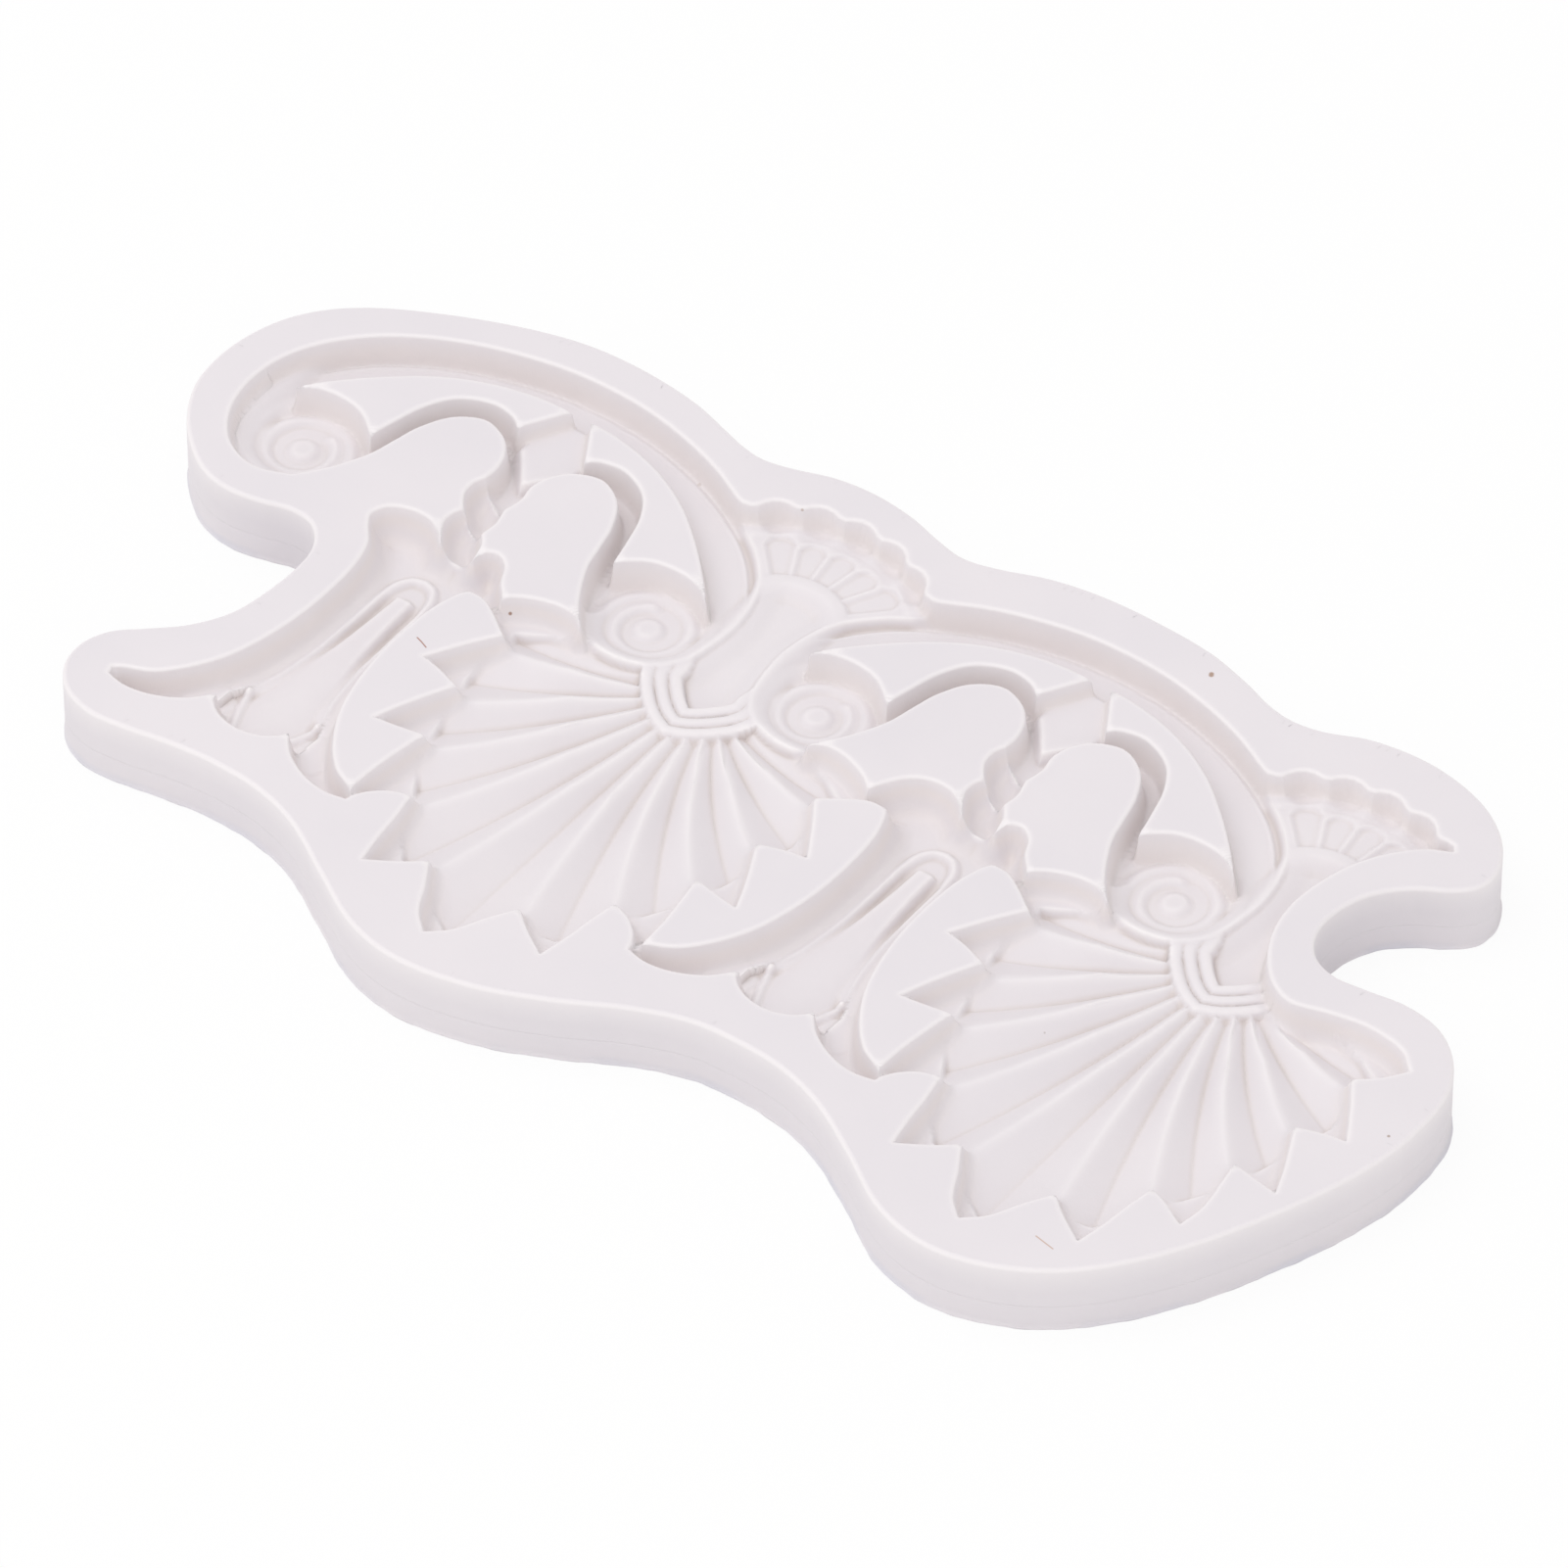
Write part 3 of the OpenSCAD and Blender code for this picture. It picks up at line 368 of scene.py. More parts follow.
def hump(t, width):
    """Rounded hump of height 1 at t = 0 that is gone at the width."""
    return np.clip(1 - (t / width) ** 2, 0, 1) ** 1.5


def dome(t):
    """Half circle of height 1 at t = 0 that is gone at t = 1."""
    return np.sqrt(np.clip(1 - t**2, 0, 1))


def over(base, value, share):
    """The base, or the value where the share is 1, with a blend between."""
    return base + (value - base) * share


# Walls: distance to the nearest one, which one it is, and which island a point stands on
field_line = loop(field_edge(), 0.3)
ISLANDS = {name: loop(points, 0.3) for name, points in islands().items()}
in_mould = inside(edge)
island = np.zeros(PX.shape, int)
for k, line in enumerate(ISLANDS.values()):
    island[inside(line)] = k + 1
in_cavity = inside(field_line) & (island == 0)
walls = Path([field_line, *ISLANDS.values()], 4.0)
outer = Path([edge], 3.0)
wall_apart = np.where(in_cavity, walls.dist, -walls.dist)
rim_in = np.where(in_mould, outer.dist, -outer.dist)

# The grid is drawn towards the walls, so that each wall gets several rows of its own. S is the
# distance from the wall after that, above 0 in the cavity and below 0 on the rim and islands
pull = PULL * np.exp(-(walls.dist / PULL_REACH) ** 2)
PX = PX + (walls.x - PX) * pull
PY = PY + (walls.y - PY) * pull
S = walls.dist * (1 - pull) * np.where(in_cavity, 1, -1)

# -------------------------------------------------------------------------
# Depth of the relief below the top face. In the names RISE is a height above what lies around,
# DROP an extra depth, STEP an angle in degrees, W a width and RIDGES a number. The rest are depths
# -------------------------------------------------------------------------
BAND_FLOOR, VOLUTE_FLOOR, STEM_FLOOR, CREST = 3.3, 3.9, 3.75, 2.38
NECK_FLOOR, FAN_FACE, PANEL_RISE, PANEL_STEP, LOBE_DROP = 3.15, 2.42, 0.38, 18.0, 0.7
RIDGE_FOOT, RIDGE_RISE, RIDGE_W, RIDGES = 3.25, 0.6, 1.42, 3
VALLEY_FLOOR, LEDGE, RIB_RISE, RIB_W = 3.9, 2.72, 0.5, 0.75
BOWL_EDGE, BOWL_DROP, GROOVE_LINE, GROOVE_FLOOR, TONGUE = 3.25, 0.65, 3.42, 4.3, 3.3
ROPE_FLOOR, SADDLE, LOZENGE = 3.3, 1.95, 1.95

# Place across the nearest arch axis and the nearest palmette axis, and distance from them
arch_x = np.where(PX < HALF, PX, PX - PITCH)
palm_x = np.where(PX < PITCH, PX - HALF, PX - (PITCH + HALF))
ax, qx = np.abs(arch_x), np.abs(palm_x)

# Band of the arches: a narrow strip along the wall foot, a low step, then a smooth floor.
# The band lies over the fold, whose signed distance is above 0 in the band
in_band = np.zeros(PX.shape, bool)
for u in UNITS:
    shift = np.array([PITCH * u, 0])
    ring = np.concatenate([shift + [[3.6, 14.0], [2.0, 60.0], [19.6, 60.0]],
                           loop(moved(FOLD, PITCH * u), 0.4, False), shift + [[8.0, 12.0]]])
    in_band |= inside(ring)
    in_band |= inside(ring * [-1, 1] + 2 * shift)
    in_band |= inside(shift + [[-8, 16.5], [8, 16.5], [8, 60], [-8, 60]])
fold = Path(at_both_sides(FOLD), 7.0).dist * np.where(in_band, 1, -1)
wall_foot = Path(at_both_sides(ARCH_TOP + ARCH_LOW[1:]), 7.0).dist
band = BAND_FLOOR + 0.14 * (1 - ease(wall_foot, 0.86, 1.06)) - 0.1 * hump(wall_foot - 1.2, 0.28)

# Volutes: a spiral ridge of nearly two turns round a domed eye. Both turns of the ridge start
# at 96 degrees, and their radius grows with the angle turned since
vx, vy = ax - VOLUTE[0], PY - VOLUTE[1]
vr = np.hypot(vx, vy)
turn = (np.degrees(np.arctan2(vy, vx)) - 96.0) % 360.0
inner_turn = 3.25 + 1.35 * (turn / 360.0) ** 1.6
outer_turn = 4.7 + 0.6 * turn / 250.0 + 2.1 * ease(turn, 250, 345)
whorl = VOLUTE_FLOOR - 0.55 * hump(vr - outer_turn, 1.15)
whorl = whorl - 0.5 * hump(vr - inner_turn, 0.95) * ease(turn, 0, 25)
whorl = whorl - 0.5 * fade(vr, 0.9, 2.0)
band = over(band, whorl, fade(vr, 6.2, 7.8) * (PY < 20))

# Outside the bands, above the collar: neck of the shell and its fan of five panels. A panel is
# as wide as its angle lets it be, and its outer end is bowed
neck = NECK_FLOOR + 0.3 * np.clip(1 - (qx / 3.9) ** 2, 0, 1) + 0.6 * fade(PY, 9.0, 14.5)
fan_r = np.hypot(qx, PY - FAN[1])
fan_a = np.degrees(np.arctan2(palm_x, PY - FAN[1]))
k = np.clip(np.round(fan_a / PANEL_STEP), -2, 2)
swing = np.radians(np.abs(fan_a - PANEL_STEP * k))
half_panel = np.maximum(fan_r * math.sin(math.radians(PANEL_STEP / 2)) - 0.2, 0.3)
side = fan_r * np.sin(swing) / half_panel
far_end = 11.7 + 0.8 * (np.abs(k) == 2) - fan_r - 1.2 * np.clip(side, 0, 1) ** 2.2
panel = np.minimum(half_panel * (1 - side), np.minimum(fan_r - 6.9, far_end))
fan = FAN_FACE - 0.12 * hump(fan_r - 6.0, 0.9) + PANEL_RISE * ease(panel, -0.3, 0.45)
fan = fan - 0.2 * ease(fan_r, 12.0, 12.8)
shell_r = np.hypot(qx, PY - SHELL["c"][1])
shell_a = np.degrees(np.arctan2(palm_x, PY - SHELL["c"][1]))
fan = fan + LOBE_DROP * lobes(shell_a) ** 1.5 * ease(shell_r, 14.0, 16.4) * ease(-fold, 0.8, 2.6)
shell = over(neck, fan, ease(fan_r, 3.4, 5.6) * ease(PY, 16, 18))

# Collar: three round ridges in a V, with a crease above and below
half_v = loop(COLLAR, 0.3, False)
collar = Path(at_both_units(np.concatenate([half_v, reflected(half_v[::-1])])), 6.0)
over_vee = PY > np.interp(HALF - qx, half_v[:, 0], half_v[:, 1])
in_shell = over_vee & ((qx < 8.6) | (PY > 17))
up_vee = collar.dist * np.where(in_shell, 1, -1)
ridges = RIDGE_FOOT - RIDGE_RISE * dome(2 * ((up_vee / RIDGE_W) % 1.0) - 1)
shell = over(ridges, shell, ease(up_vee, RIDGES * RIDGE_W - 0.02, RIDGES * RIDGE_W + 0.16))

# Palmette: between two round ribs a valley with a keel, that ends in a pointed tip on a ledge.
# The line of tips and notches is bowed outwards between each and the next
rib, keel = Path(fanned(RIBS), 5.0), Path(fanned(PETALS), 5.0)
zigzag = []
for a, b in zip(np.array(TIPS[:-1]), np.array(TIPS[1:])):
    out = np.array([b[1] - a[1], a[0] - b[0]])
    out = out if out @ (a - [HALF, 2]) > 0 else -out
    zigzag += [a, (a + b) / 2 + 0.09 * out]
zigzag = np.array(zigzag + [np.array(TIPS[-1])])
zigzag = np.concatenate([zigzag, reflected(zigzag[-2::-1])])
on_petals = np.zeros(PX.shape, bool)
for around in at_both_units(np.concatenate([zigzag, [[45.4, 14.0], [18.6, 14.0]]])):
    on_petals |= inside(around)
from_tips = Path(at_both_units(zigzag), 3.0).dist * np.where(on_petals, 1, -1)
rise = np.minimum(1.75, 0.92 * (keel.dist + rib.dist))
valley = VALLEY_FLOOR - 0.25 * fade(PY, -2, 8)
valley = valley - rise * keel.dist / (keel.dist + np.hypot(rib.dist, 0.32))
palmette = over(LEDGE - RIB_RISE * hump(rib.dist, RIB_W), valley, ease(from_tips, -0.15, 0.4))
palmette = over(palmette, ridges, ease(up_vee, -0.12, 0.1))
outside = np.where(in_shell, shell, palmette)

# Fold: a round crest between band and shell or palmette, with a steep side to each
crest = CREST - 0.1 * fade(PY, 22, 26)
on_neck = in_shell * (1 - ease(fan_r, 5.2, 7.5) * (PY > 17))
outside = over(crest, outside, ease(-fold, 0.05, 0.5) * (1 - 0.62 * on_neck)
               + 0.62 * on_neck * ease(-fold, 0.0, 2.9))
band = over(crest, band, ease(fold, 0.08, 0.72 + 1.7 * fade(PY, 18, 24)))
D = np.where(in_band, band, outside)

# Stems: deep round-bottomed channels from the volutes to the arch axis
stem = Path(at_both_sides(STEM), 3.0).dist
D = np.where(stem < 3.0, np.maximum(D, STEM_FLOOR - 0.35 * (stem / 1.5) ** 2), D)

# Pendant: a bowl, a thin raised outline with a round head, a groove, and a tapered tongue
right = loop(GROOVE, 0.3, False)
line = Path(at_both_units(np.concatenate([right[::-1] * [-1, 1], right[1:]])), 4.0)
groove_w = np.interp(PY, [-20.0, -14.5, -9.0, -4.0, 0.4, 2.6, 4.0, 4.4],
                     [5.4, 3.4, 2.6, 2.45, 2.4, 2.1, 1.2, 0.0])
tongue_w = np.interp(PY, [-24, -19, -13, -8, -3, 1.2, 1.9], [4.6, 3.3, 2.0, 1.35, 1.0, 0.8, 0.0])
within = (ax < groove_w) & (PY < 4.4)
bowl = BOWL_EDGE + BOWL_DROP * ease(S, 0.4, 2.6) * (1 - fade(PY, -19, -15))
pendant = over(np.where(within, 4.0, bowl), GROOVE_LINE, hump(line.dist, 0.72))
in_groove = within * fade(PY, -0.5, 2.0) * (1 - fade(PY, -18.4, -16.6))
in_groove = in_groove * ease(ax - tongue_w, -0.4, 0.1) * ease(groove_w - ax, 0.1, 0.6)
pendant = over(pendant, GROOVE_FLOOR - 0.7 * fade(PY, -13, -3), in_groove)
on_tongue = ease(tongue_w - ax, -0.55, 0.1) * fade(PY, 0.9, 1.9)
pendant = over(pendant, TONGUE + 0.2 * (ax / 2) ** 2, on_tongue)
# Foot of the tongue: two short ribs part its broad end from a round lobe on each side
foot_rib = Path([np.array(FOOT_RIB) * [flip, 1] + [PITCH * u, 0] for u in UNITS
                 for flip in (-1, 1)], 3.0)
pendant = pendant - 0.42 * hump(foot_rib.dist, 0.6)
pendant = pendant - 0.35 * dome(np.hypot(ax - 6.2, PY + 22.0) / 2.8)
half_pendant = np.interp(PY, [-28, -24, -18, -12, -6, 0, 3.4, 5, 9],
                         [16, 12, 8.6, 6.4, 5.6, 6.2, 7.4, 9.5, 11])
on_pendant = ease(half_pendant - ax, -0.6, 0.6) * (PY < 9.6)
in_rope = (PY > 7.3) & (PY < 17) & (arch_x < 3.8 + 0.2 * (PY - 7.3))
in_rope &= arch_x > -0.3 - 0.9 * (PY - 7.3)
D = np.where(in_rope, ROPE_FLOOR, over(D, pendant, on_pendant))

# Rope: three slanting crests with a round hollow between each and the next
saddle = Path([np.array(s) + [PITCH * u, 0] for u in UNITS for s in SADDLES], 2.6)
D = over(SADDLE, D, dome(1 - np.clip(saddle.dist / 2.1, 0, 1)))

# Lozenge on the arch axis: a flat step between the crescents, with slopes down to the stems
half_lozenge = np.interp(PY, [18.0, 20.2, 24.1, 27.0], [-3.0, 0.0, 3.2, 3.2])
on_lozenge = ease(0.85 * (half_lozenge - ax), -0.95, 0.1) * (PY > 16)
on_lozenge = on_lozenge * (1 - ease(PY, 29.4, 31.0))
D = over(D, LOZENGE + 0.12 * (ax / 3) ** 2, on_lozenge)

# Width of the foot of the wall: narrow in the bands, wide in the rope, and at the petal tips
scoop = (1 - ease(PY, 15.5, 19.0)) * fade(ax, 9.0, 11.0) * ease(PY, -2.0, 3.0)
petals = (~in_band) & ~in_shell
FOOT = 0.62 + 1.1 * scoop + 0.4 * on_pendant * (1 - scoop)
FOOT = FOOT + 0.8 * petals * (1 - np.maximum(scoop, on_pendant))

# -------------------------------------------------------------------------
# From depth to surface: round lip, steep wall, coved foot
# -------------------------------------------------------------------------
lip = np.where(S > -ROUND, ROUND - np.sqrt(np.clip(ROUND**2 - (S + ROUND) ** 2, 0, None)), 0.0)
fall = 1 - (1 - np.clip(S / FOOT, 0, 1)) ** 2.3
depth = np.where(S < 0, lip, ROUND + (D - ROUND) * fall)
POINTS = np.stack([(PX - MID[0]) / 1000, (PY - MID[1]) / 1000, (TOP - depth) / 1000], -1)

# Normals of the whole surface, from the crossed differences of its neighbours
NORMALS = np.cross(*(np.stack([np.gradient(POINTS[..., k], axis=axis) for k in range(3)], -1)
                     for axis in (1, 0)))
NORMALS /= np.linalg.norm(NORMALS, axis=-1, keepdims=True) + 1e-20

# -------------------------------------------------------------------------
# Cells of the grid, and the piece that each one belongs to
# -------------------------------------------------------------------------
def at_centre(field):
    return (field[:-1, :-1] + field[1:, :-1] + field[:-1, 1:] + field[1:, 1:]) / 4


# The last cells of the rim stay clear of the line where the outer edge starts to turn over
keep = rim_in > LIP + 0.65
kept = keep[:-1, :-1] & keep[1:, :-1] & keep[:-1, 1:] & keep[1:, 1:]
NAMES = ["rim_wall", *ISLANDS, "scroll_bed_1", "scroll_bed_2", "volute_1_left", "volute_1_right",
         "volute_2_left", "volute_2_right", "rope_bed_1", "rope_bed_2", "pendant_bed_1",
         "pendant_bed_2", "palmette_bed_1", "palmette_bed_2", "collar_bed_1", "collar_bed_2",
         "shell_bed_1", "shell_bed_2"]
index = {name: i for i, name in enumerate(NAMES)}
bed = np.full(PX.shape, -1)
VOLUTE_BED, VOLUTE_BED_R = (21.4, 11.3), 5.5


def claim(name, where):
    """Give a bed the places that no earlier bed has taken."""
    bed[where & (bed < 0)] = index[name]


def edge_copy(points, unit):
    """Grid points inside an edge of the first repeat, moved to the given one."""
    return inside(np.array(points) + [PITCH * unit, 0])


for u in UNITS:
    for sign, side_name in ((-1, "left"), (1, "right")):
        claim(f"volute_{u + 1}_{side_name}",
              np.hypot(PX - PITCH * u - sign * VOLUTE_BED[0], PY - VOLUTE_BED[1]) < VOLUTE_BED_R)
for u in UNITS:
    scroll = joined([[-19.6, 50, 1], [19.6, 50, 1], [19.6, 29.7, 1]], ARCH_LOW,
                    [[21.3, 4.9, 1], [18, 6.1, 1], [8, 12, 1], [2.6, 17.2, 1], [-2.6, 17.2, 1],
                     [-8, 12, 1], [-18, 6.1, 1], [-21.3, 4.9, 1]],
                    mirrored(ARCH_LOW), [[-19.6, 29.7, 1]])
    claim(f"scroll_bed_{u + 1}", edge_copy(loop(scroll, 0.5), u))
    if u == 0:
        claim("scroll_bed_1", (PX < -18) & (PY > 2))
    claim(f"rope_bed_{u + 1}", edge_copy([[-0.3, 7.3], [-1.5, 8.95], [-6, 11], [-6, 18], [6, 18],
                                          [6, 11], [3.9, 8.9], [3.8, 7.3]], u))
    flank = [[9.6, 10], [9.6, 4.5], [6.4, 3.4], [6, -2], [6.6, -10], [8, -16.3], [11.5, -22.5],
             [14.2, -25.7], [14.8, -26.6], [16, -34]]
    claim(f"pendant_bed_{u + 1}", edge_copy(flank + mirrored(flank), u))
    if u == 0:
        claim("pendant_bed_1", (PX < 0) & (PY < 10))
for u in UNITS:
    claim(f"collar_bed_{u + 1}",
          edge_copy([[24.8, 6.2], [28.4, 3.2], [32, 0.9], [35.6, 3.2], [39.2, 6.2], [41, 12],
                     [35.6, 11.3], [32, 5.0], [28.4, 11.3], [23, 12]], u))
    claim(f"shell_bed_{u + 1}",
          edge_copy([[32, 5.0], [35.6, 11.3], [41, 12], [50, 24], [50, 50], [14, 50], [14, 24],
                     [23, 12], [28.4, 11.3]], u))
    claim(f"palmette_bed_{u + 1}", (PX > PITCH * u) & (PX < PITCH * (u + 1) + 16 * u))
# A strip along each wall belongs to the wall's own piece, the rim or an island
wall_piece = np.where(in_cavity, walls.which, island)
cell_piece = np.where(at_centre(wall_apart) < WALL_STRIP, wall_piece[:-1, :-1], bed[:-1, :-1])
cell_piece = np.where(kept, cell_piece, -1)

# -------------------------------------------------------------------------
# Outer edge: a smooth line inside the outline, the zip of triangles that joins it to the grid,
# and a profile carried along it for the round lip, the side and the thin flash at the foot
# -------------------------------------------------------------------------
def resample(path, step):
    """A closed path cut again into equal lengths, and the share of its length at each."""
    run = run_along(path)
    at = np.linspace(0, run[-1], int(run[-1] / step), endpoint=False)
    return np.stack([np.interp(at, run, path[:, k]) for k in (0, 1)], -1), at / run[-1]


def ripple(terms):
    """Sum of sines along the outline: height, number of waves and phase of each."""
    return sum(a * np.sin(2 * np.pi * (rim_share * f + p)) for a, f, p in terms)


clockwise = np.sum(edge[:-1, 0] * edge[1:, 1] - edge[1:, 0] * edge[:-1, 1]) < 0
rimline, rim_share = resample(edge, 0.45)
n_ring = len(rimline)
chord = np.roll(rimline, -3, axis=0) - np.roll(rimline, 3, axis=0)
out_dir = np.stack([chord[:, 1], -chord[:, 0]], -1) * (-1 if clockwise else 1)
out_dir /= np.linalg.norm(out_dir, axis=1, keepdims=True)
wave = ripple(((0.035, 9, 0.1), (0.025, 23, 0.55), (0.012, 61, 0.3)))
rag = np.clip(ripple(((0.05, 47, 0.2), (0.05, 83, 0.7), (0.04, 131, 0.4), (0.03, 211, 0.9))),
              -0.1, 0.1)

# Profile rows: inset from the outline, height above the table, sideways and upward parts of the
# normal. IN leaves room for the side's waves inside the outline
IN = 0.13
PROFILE_TOP = [(LIP * (1 - math.sin(t)) + IN, TOP - LIP * (1 - math.cos(t)), math.sin(t),
                math.cos(t)) for t in np.radians([0, 18, 36, 54, 72, 90])]
PROFILE_TOP += [(IN + 0.01, 6.2, 1, 0.02), (IN + 0.02, 4.8, 1, 0), (IN + 0.02, SHEET, 1, 0)]
# Painted highlight of each row of the upper part
HIGHLIGHT_ROWS = [0.0, 0.25, 0.55, 0.8, 0.7, 0.5, 0.2, 0.0, 0.0]
PROFILE_LOW = [(IN + 0.02, SHEET, 1, 0), (IN + 0.02, 3.12, 1, 0), (IN + 0.045, 3.04, 1, -0.3),
               (IN + 0.10, 2.96, 1, 0.0), (IN + 0.045, 2.86, 1, 0.35), (IN + 0.03, 2.76, 1, 0),
               (IN + 0.03, 1.6, 1, 0), (IN + 0.04, 0.62, 1, 0.0), (IN + 0.0, 0.34, 0.9, 0.3),
               (0.03, 0.2, 0.75, 0.6), (0.0, 0.08, 1, -0.1), (0.06, 0.0, 0.4, -0.9)]


def rows(profile, ragged):
    """The profile at every place along the outline, as points and normals, row by row. The
    waves grow towards the foot, and the flash at the foot may be ragged."""
    points, normals = [], []
    for inset, z, sideways, up in profile:
        swell = wave * (0.2 + 0.8 * min(1, (TOP - z) / 3)) * (1 if z > 0.5 else 0.5)
        move = inset + swell * 0.9 + (rag * (0.6 if z < 0.3 else 0.0) if ragged else 0)
        place = rimline - out_dir * np.maximum(move, 0.0)[:, None]
        height = z + (rag * 0.5 * (0.08 < z < 0.5) if ragged else 0)
        points.append(np.column_stack([(place - MID) / 1000, np.full(n_ring, height / 1000)]))
        n = np.column_stack([out_dir * sideways, np.full(n_ring, up)])
        normals.append(n / np.linalg.norm(n, axis=1, keepdims=True))
    return np.concatenate(points), np.concatenate(normals)


def strip_faces(n_rows, first):
    """Quads between consecutive rows of the ring, facing outwards."""
    i = np.arange(n_ring)
    j = (i + 1) % n_ring
    out = []
    for row in range(first, first + (n_rows - 1) * n_ring, n_ring):
        quad = np.stack([row + i, row + j, row + n_ring + j, row + n_ring + i], -1)
        out.append(quad if clockwise else quad[:, ::-1])
    return np.concatenate(out)


def stepped_edge():
    """Grid points round the kept cells, as one loop with its start at the outline's start, and
    the share of the outline's length at each."""
    grid_id = np.arange(NX * NY).reshape(NY, NX)
    a, b, c, d = grid_id[:-1, :-1], grid_id[:-1, 1:], grid_id[1:, 1:], grid_id[1:, :-1]
    ring = np.pad(kept, 1)
    follow = {}
    for start, end, beyond in ((a, b, ring[:-2, 1:-1]), (b, c, ring[1:-1, 2:]),
                               (c, d, ring[2:, 1:-1]), (d, a, ring[1:-1, :-2])):
        hop = kept & ~beyond
        follow.update(zip(start[hop].tolist(), end[hop].tolist()))
    path = [next(iter(follow))]
    while follow[path[-1]] != path[0]:
        path.append(follow[path[-1]])
    path = np.array(path[::-1] if clockwise else path)
    share = outer.share.ravel()[path]
    turn_by = -int(np.argmin(share))
    path, share = np.roll(path, turn_by), np.roll(share, turn_by)
    # The shares are made to rise all the way, so that no triangle of the zip turns over
    least_ahead = np.minimum.accumulate(np.append(share, 1.0)[::-1])[::-1][:-1]
    return path, np.maximum.accumulate(np.minimum(share, least_ahead + 0.004))


def zip_rings(a_ids, a_at, b_ids, b_at):
    """Triangles between two rings with places along the same line: each place on either ring
    makes one triangle with the last place passed on the other ring."""
    on_b = np.repeat([False, True], [len(a_at), len(b_at)])
    on_b = on_b[np.argsort(np.concatenate([a_at, b_at]), kind="stable")]
    ia, ib = np.cumsum(~on_b) - 1, np.cumsum(on_b) - 1
    na, nb = len(a_ids), len(b_ids)
    return np.where(on_b[:, None],
                    np.stack([a_ids[ia % na], b_ids[ib % nb], b_ids[(ib - 1) % nb]], -1),
                    np.stack([a_ids[(ia - 1) % na], a_ids[ia % na], b_ids[ib % nb]], -1))


# -------------------------------------------------------------------------
# Light and shade painted on the grid: a painted highlight on crests and lips, painted shade in
# creases, and a painted glow, warmer and paler than the face, on walls and in hollows. A level is
# set against the mean level of its surroundings
# -------------------------------------------------------------------------
def blurred(field, reach):
    """Mean over a square of 2 reach + 1 cells, from differences of running sums."""
    for axis in (0, 1):
        pad = [(0, 0), (0, 0)]
        pad[axis] = (reach + 1, reach)
        total = np.cumsum(np.pad(field, pad, mode="edge"), axis=axis)
        size = field.shape[axis]
        hi, lo = (np.take(total, np.arange(k, k + size), axis=axis) for k in (2 * reach + 1, 0))
        field = (hi - lo) / (2 * reach + 1)
    return field


def above_mean(reach):
    cells = round(reach / CELL)
    return blurred(blurred(depth, cells), cells) - depth


small, wide = above_mean(0.3), above_mean(0.8)
on_wall = np.exp(-((S - 0.28) / 0.42) ** 2) * ease(depth, 0.3, 1.5)
bent = 0.4 * np.maximum(-wide, 0) + 0.5 * np.maximum(-small, 0)
# Painted glow, warm and pale, on walls, in bends and deeper down, standing in for light scattered
# through the silicone
warm = np.clip(0.12 * depth / 4.2 + 0.6 * on_wall + bent * ease(S, 0.5, 1.4), 0, 1)
# Painted highlight, paler on crests and along the lips of the rim and islands
painted_highlight = np.clip(2.6 * np.maximum(small, 0) + 0.5 * np.maximum(wide, 0), 0, 1) * ease(S, 0.9, 1.8)
painted_highlight = np.maximum(painted_highlight, 0.7 * np.exp(-((S + 0.12) / 0.28) ** 2)) * (rim_in > 1.5)
# Painted shade, darker in narrow creases
crease_shade = np.clip(-3.8 * small - 0.1, 0, 0.9) * ease(S, 1.3, 2.4)
TONES = np.stack([warm, painted_highlight, crease_shade], -1).reshape(-1, 3)

# -------------------------------------------------------------------------
# Pieces
# -------------------------------------------------------------------------
silicone = bpy.data.materials.new("silicone")


def build(node, verts, normals, tris, quads):
    """The visible piece of a node, one mesh from whole arrays: corner indices of its triangles,
    then of its quads."""
    mesh = bpy.data.meshes.new(node + "_cast")
    mesh.vertices.add(len(verts))
    mesh.vertices.foreach_set("co", verts.astype(np.float32).ravel())
    corners = np.concatenate([tris.ravel(), quads.ravel()]).astype(np.int32)
    mesh.loops.add(len(corners))
    mesh.loops.foreach_set("vertex_index", corners)
    count = len(tris) + len(quads)
    start = np.concatenate([np.arange(len(tris)) * 3, len(tris) * 3 + np.arange(len(quads)) * 4])
    mesh.polygons.add(count)
    mesh.polygons.foreach_set("loop_start", start.astype(np.int32))
    mesh.update(calc_edges=True)
    mesh.polygons.foreach_set("use_smooth", np.ones(count, bool))
    mesh.normals_split_custom_set_from_vertices(normals.astype(np.float32))
    mesh.materials.append(silicone)
    piece = bpy.data.objects.new(node + "_cast", mesh)
    bpy.context.scene.collection.objects.link(piece)
    return piece


def finish_piece(node, piece, tones):
    """The painted glow, highlight and shade of a piece, and the node whose looks it takes over."""
    for k, label in enumerate(("warm", "lip", "crease_shade")):
        layer = piece.data.attributes.new(label, "FLOAT", "POINT")
        layer.data.foreach_set("value", tones[:, k].astype(np.float32))
    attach(piece, "root")
    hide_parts(node)


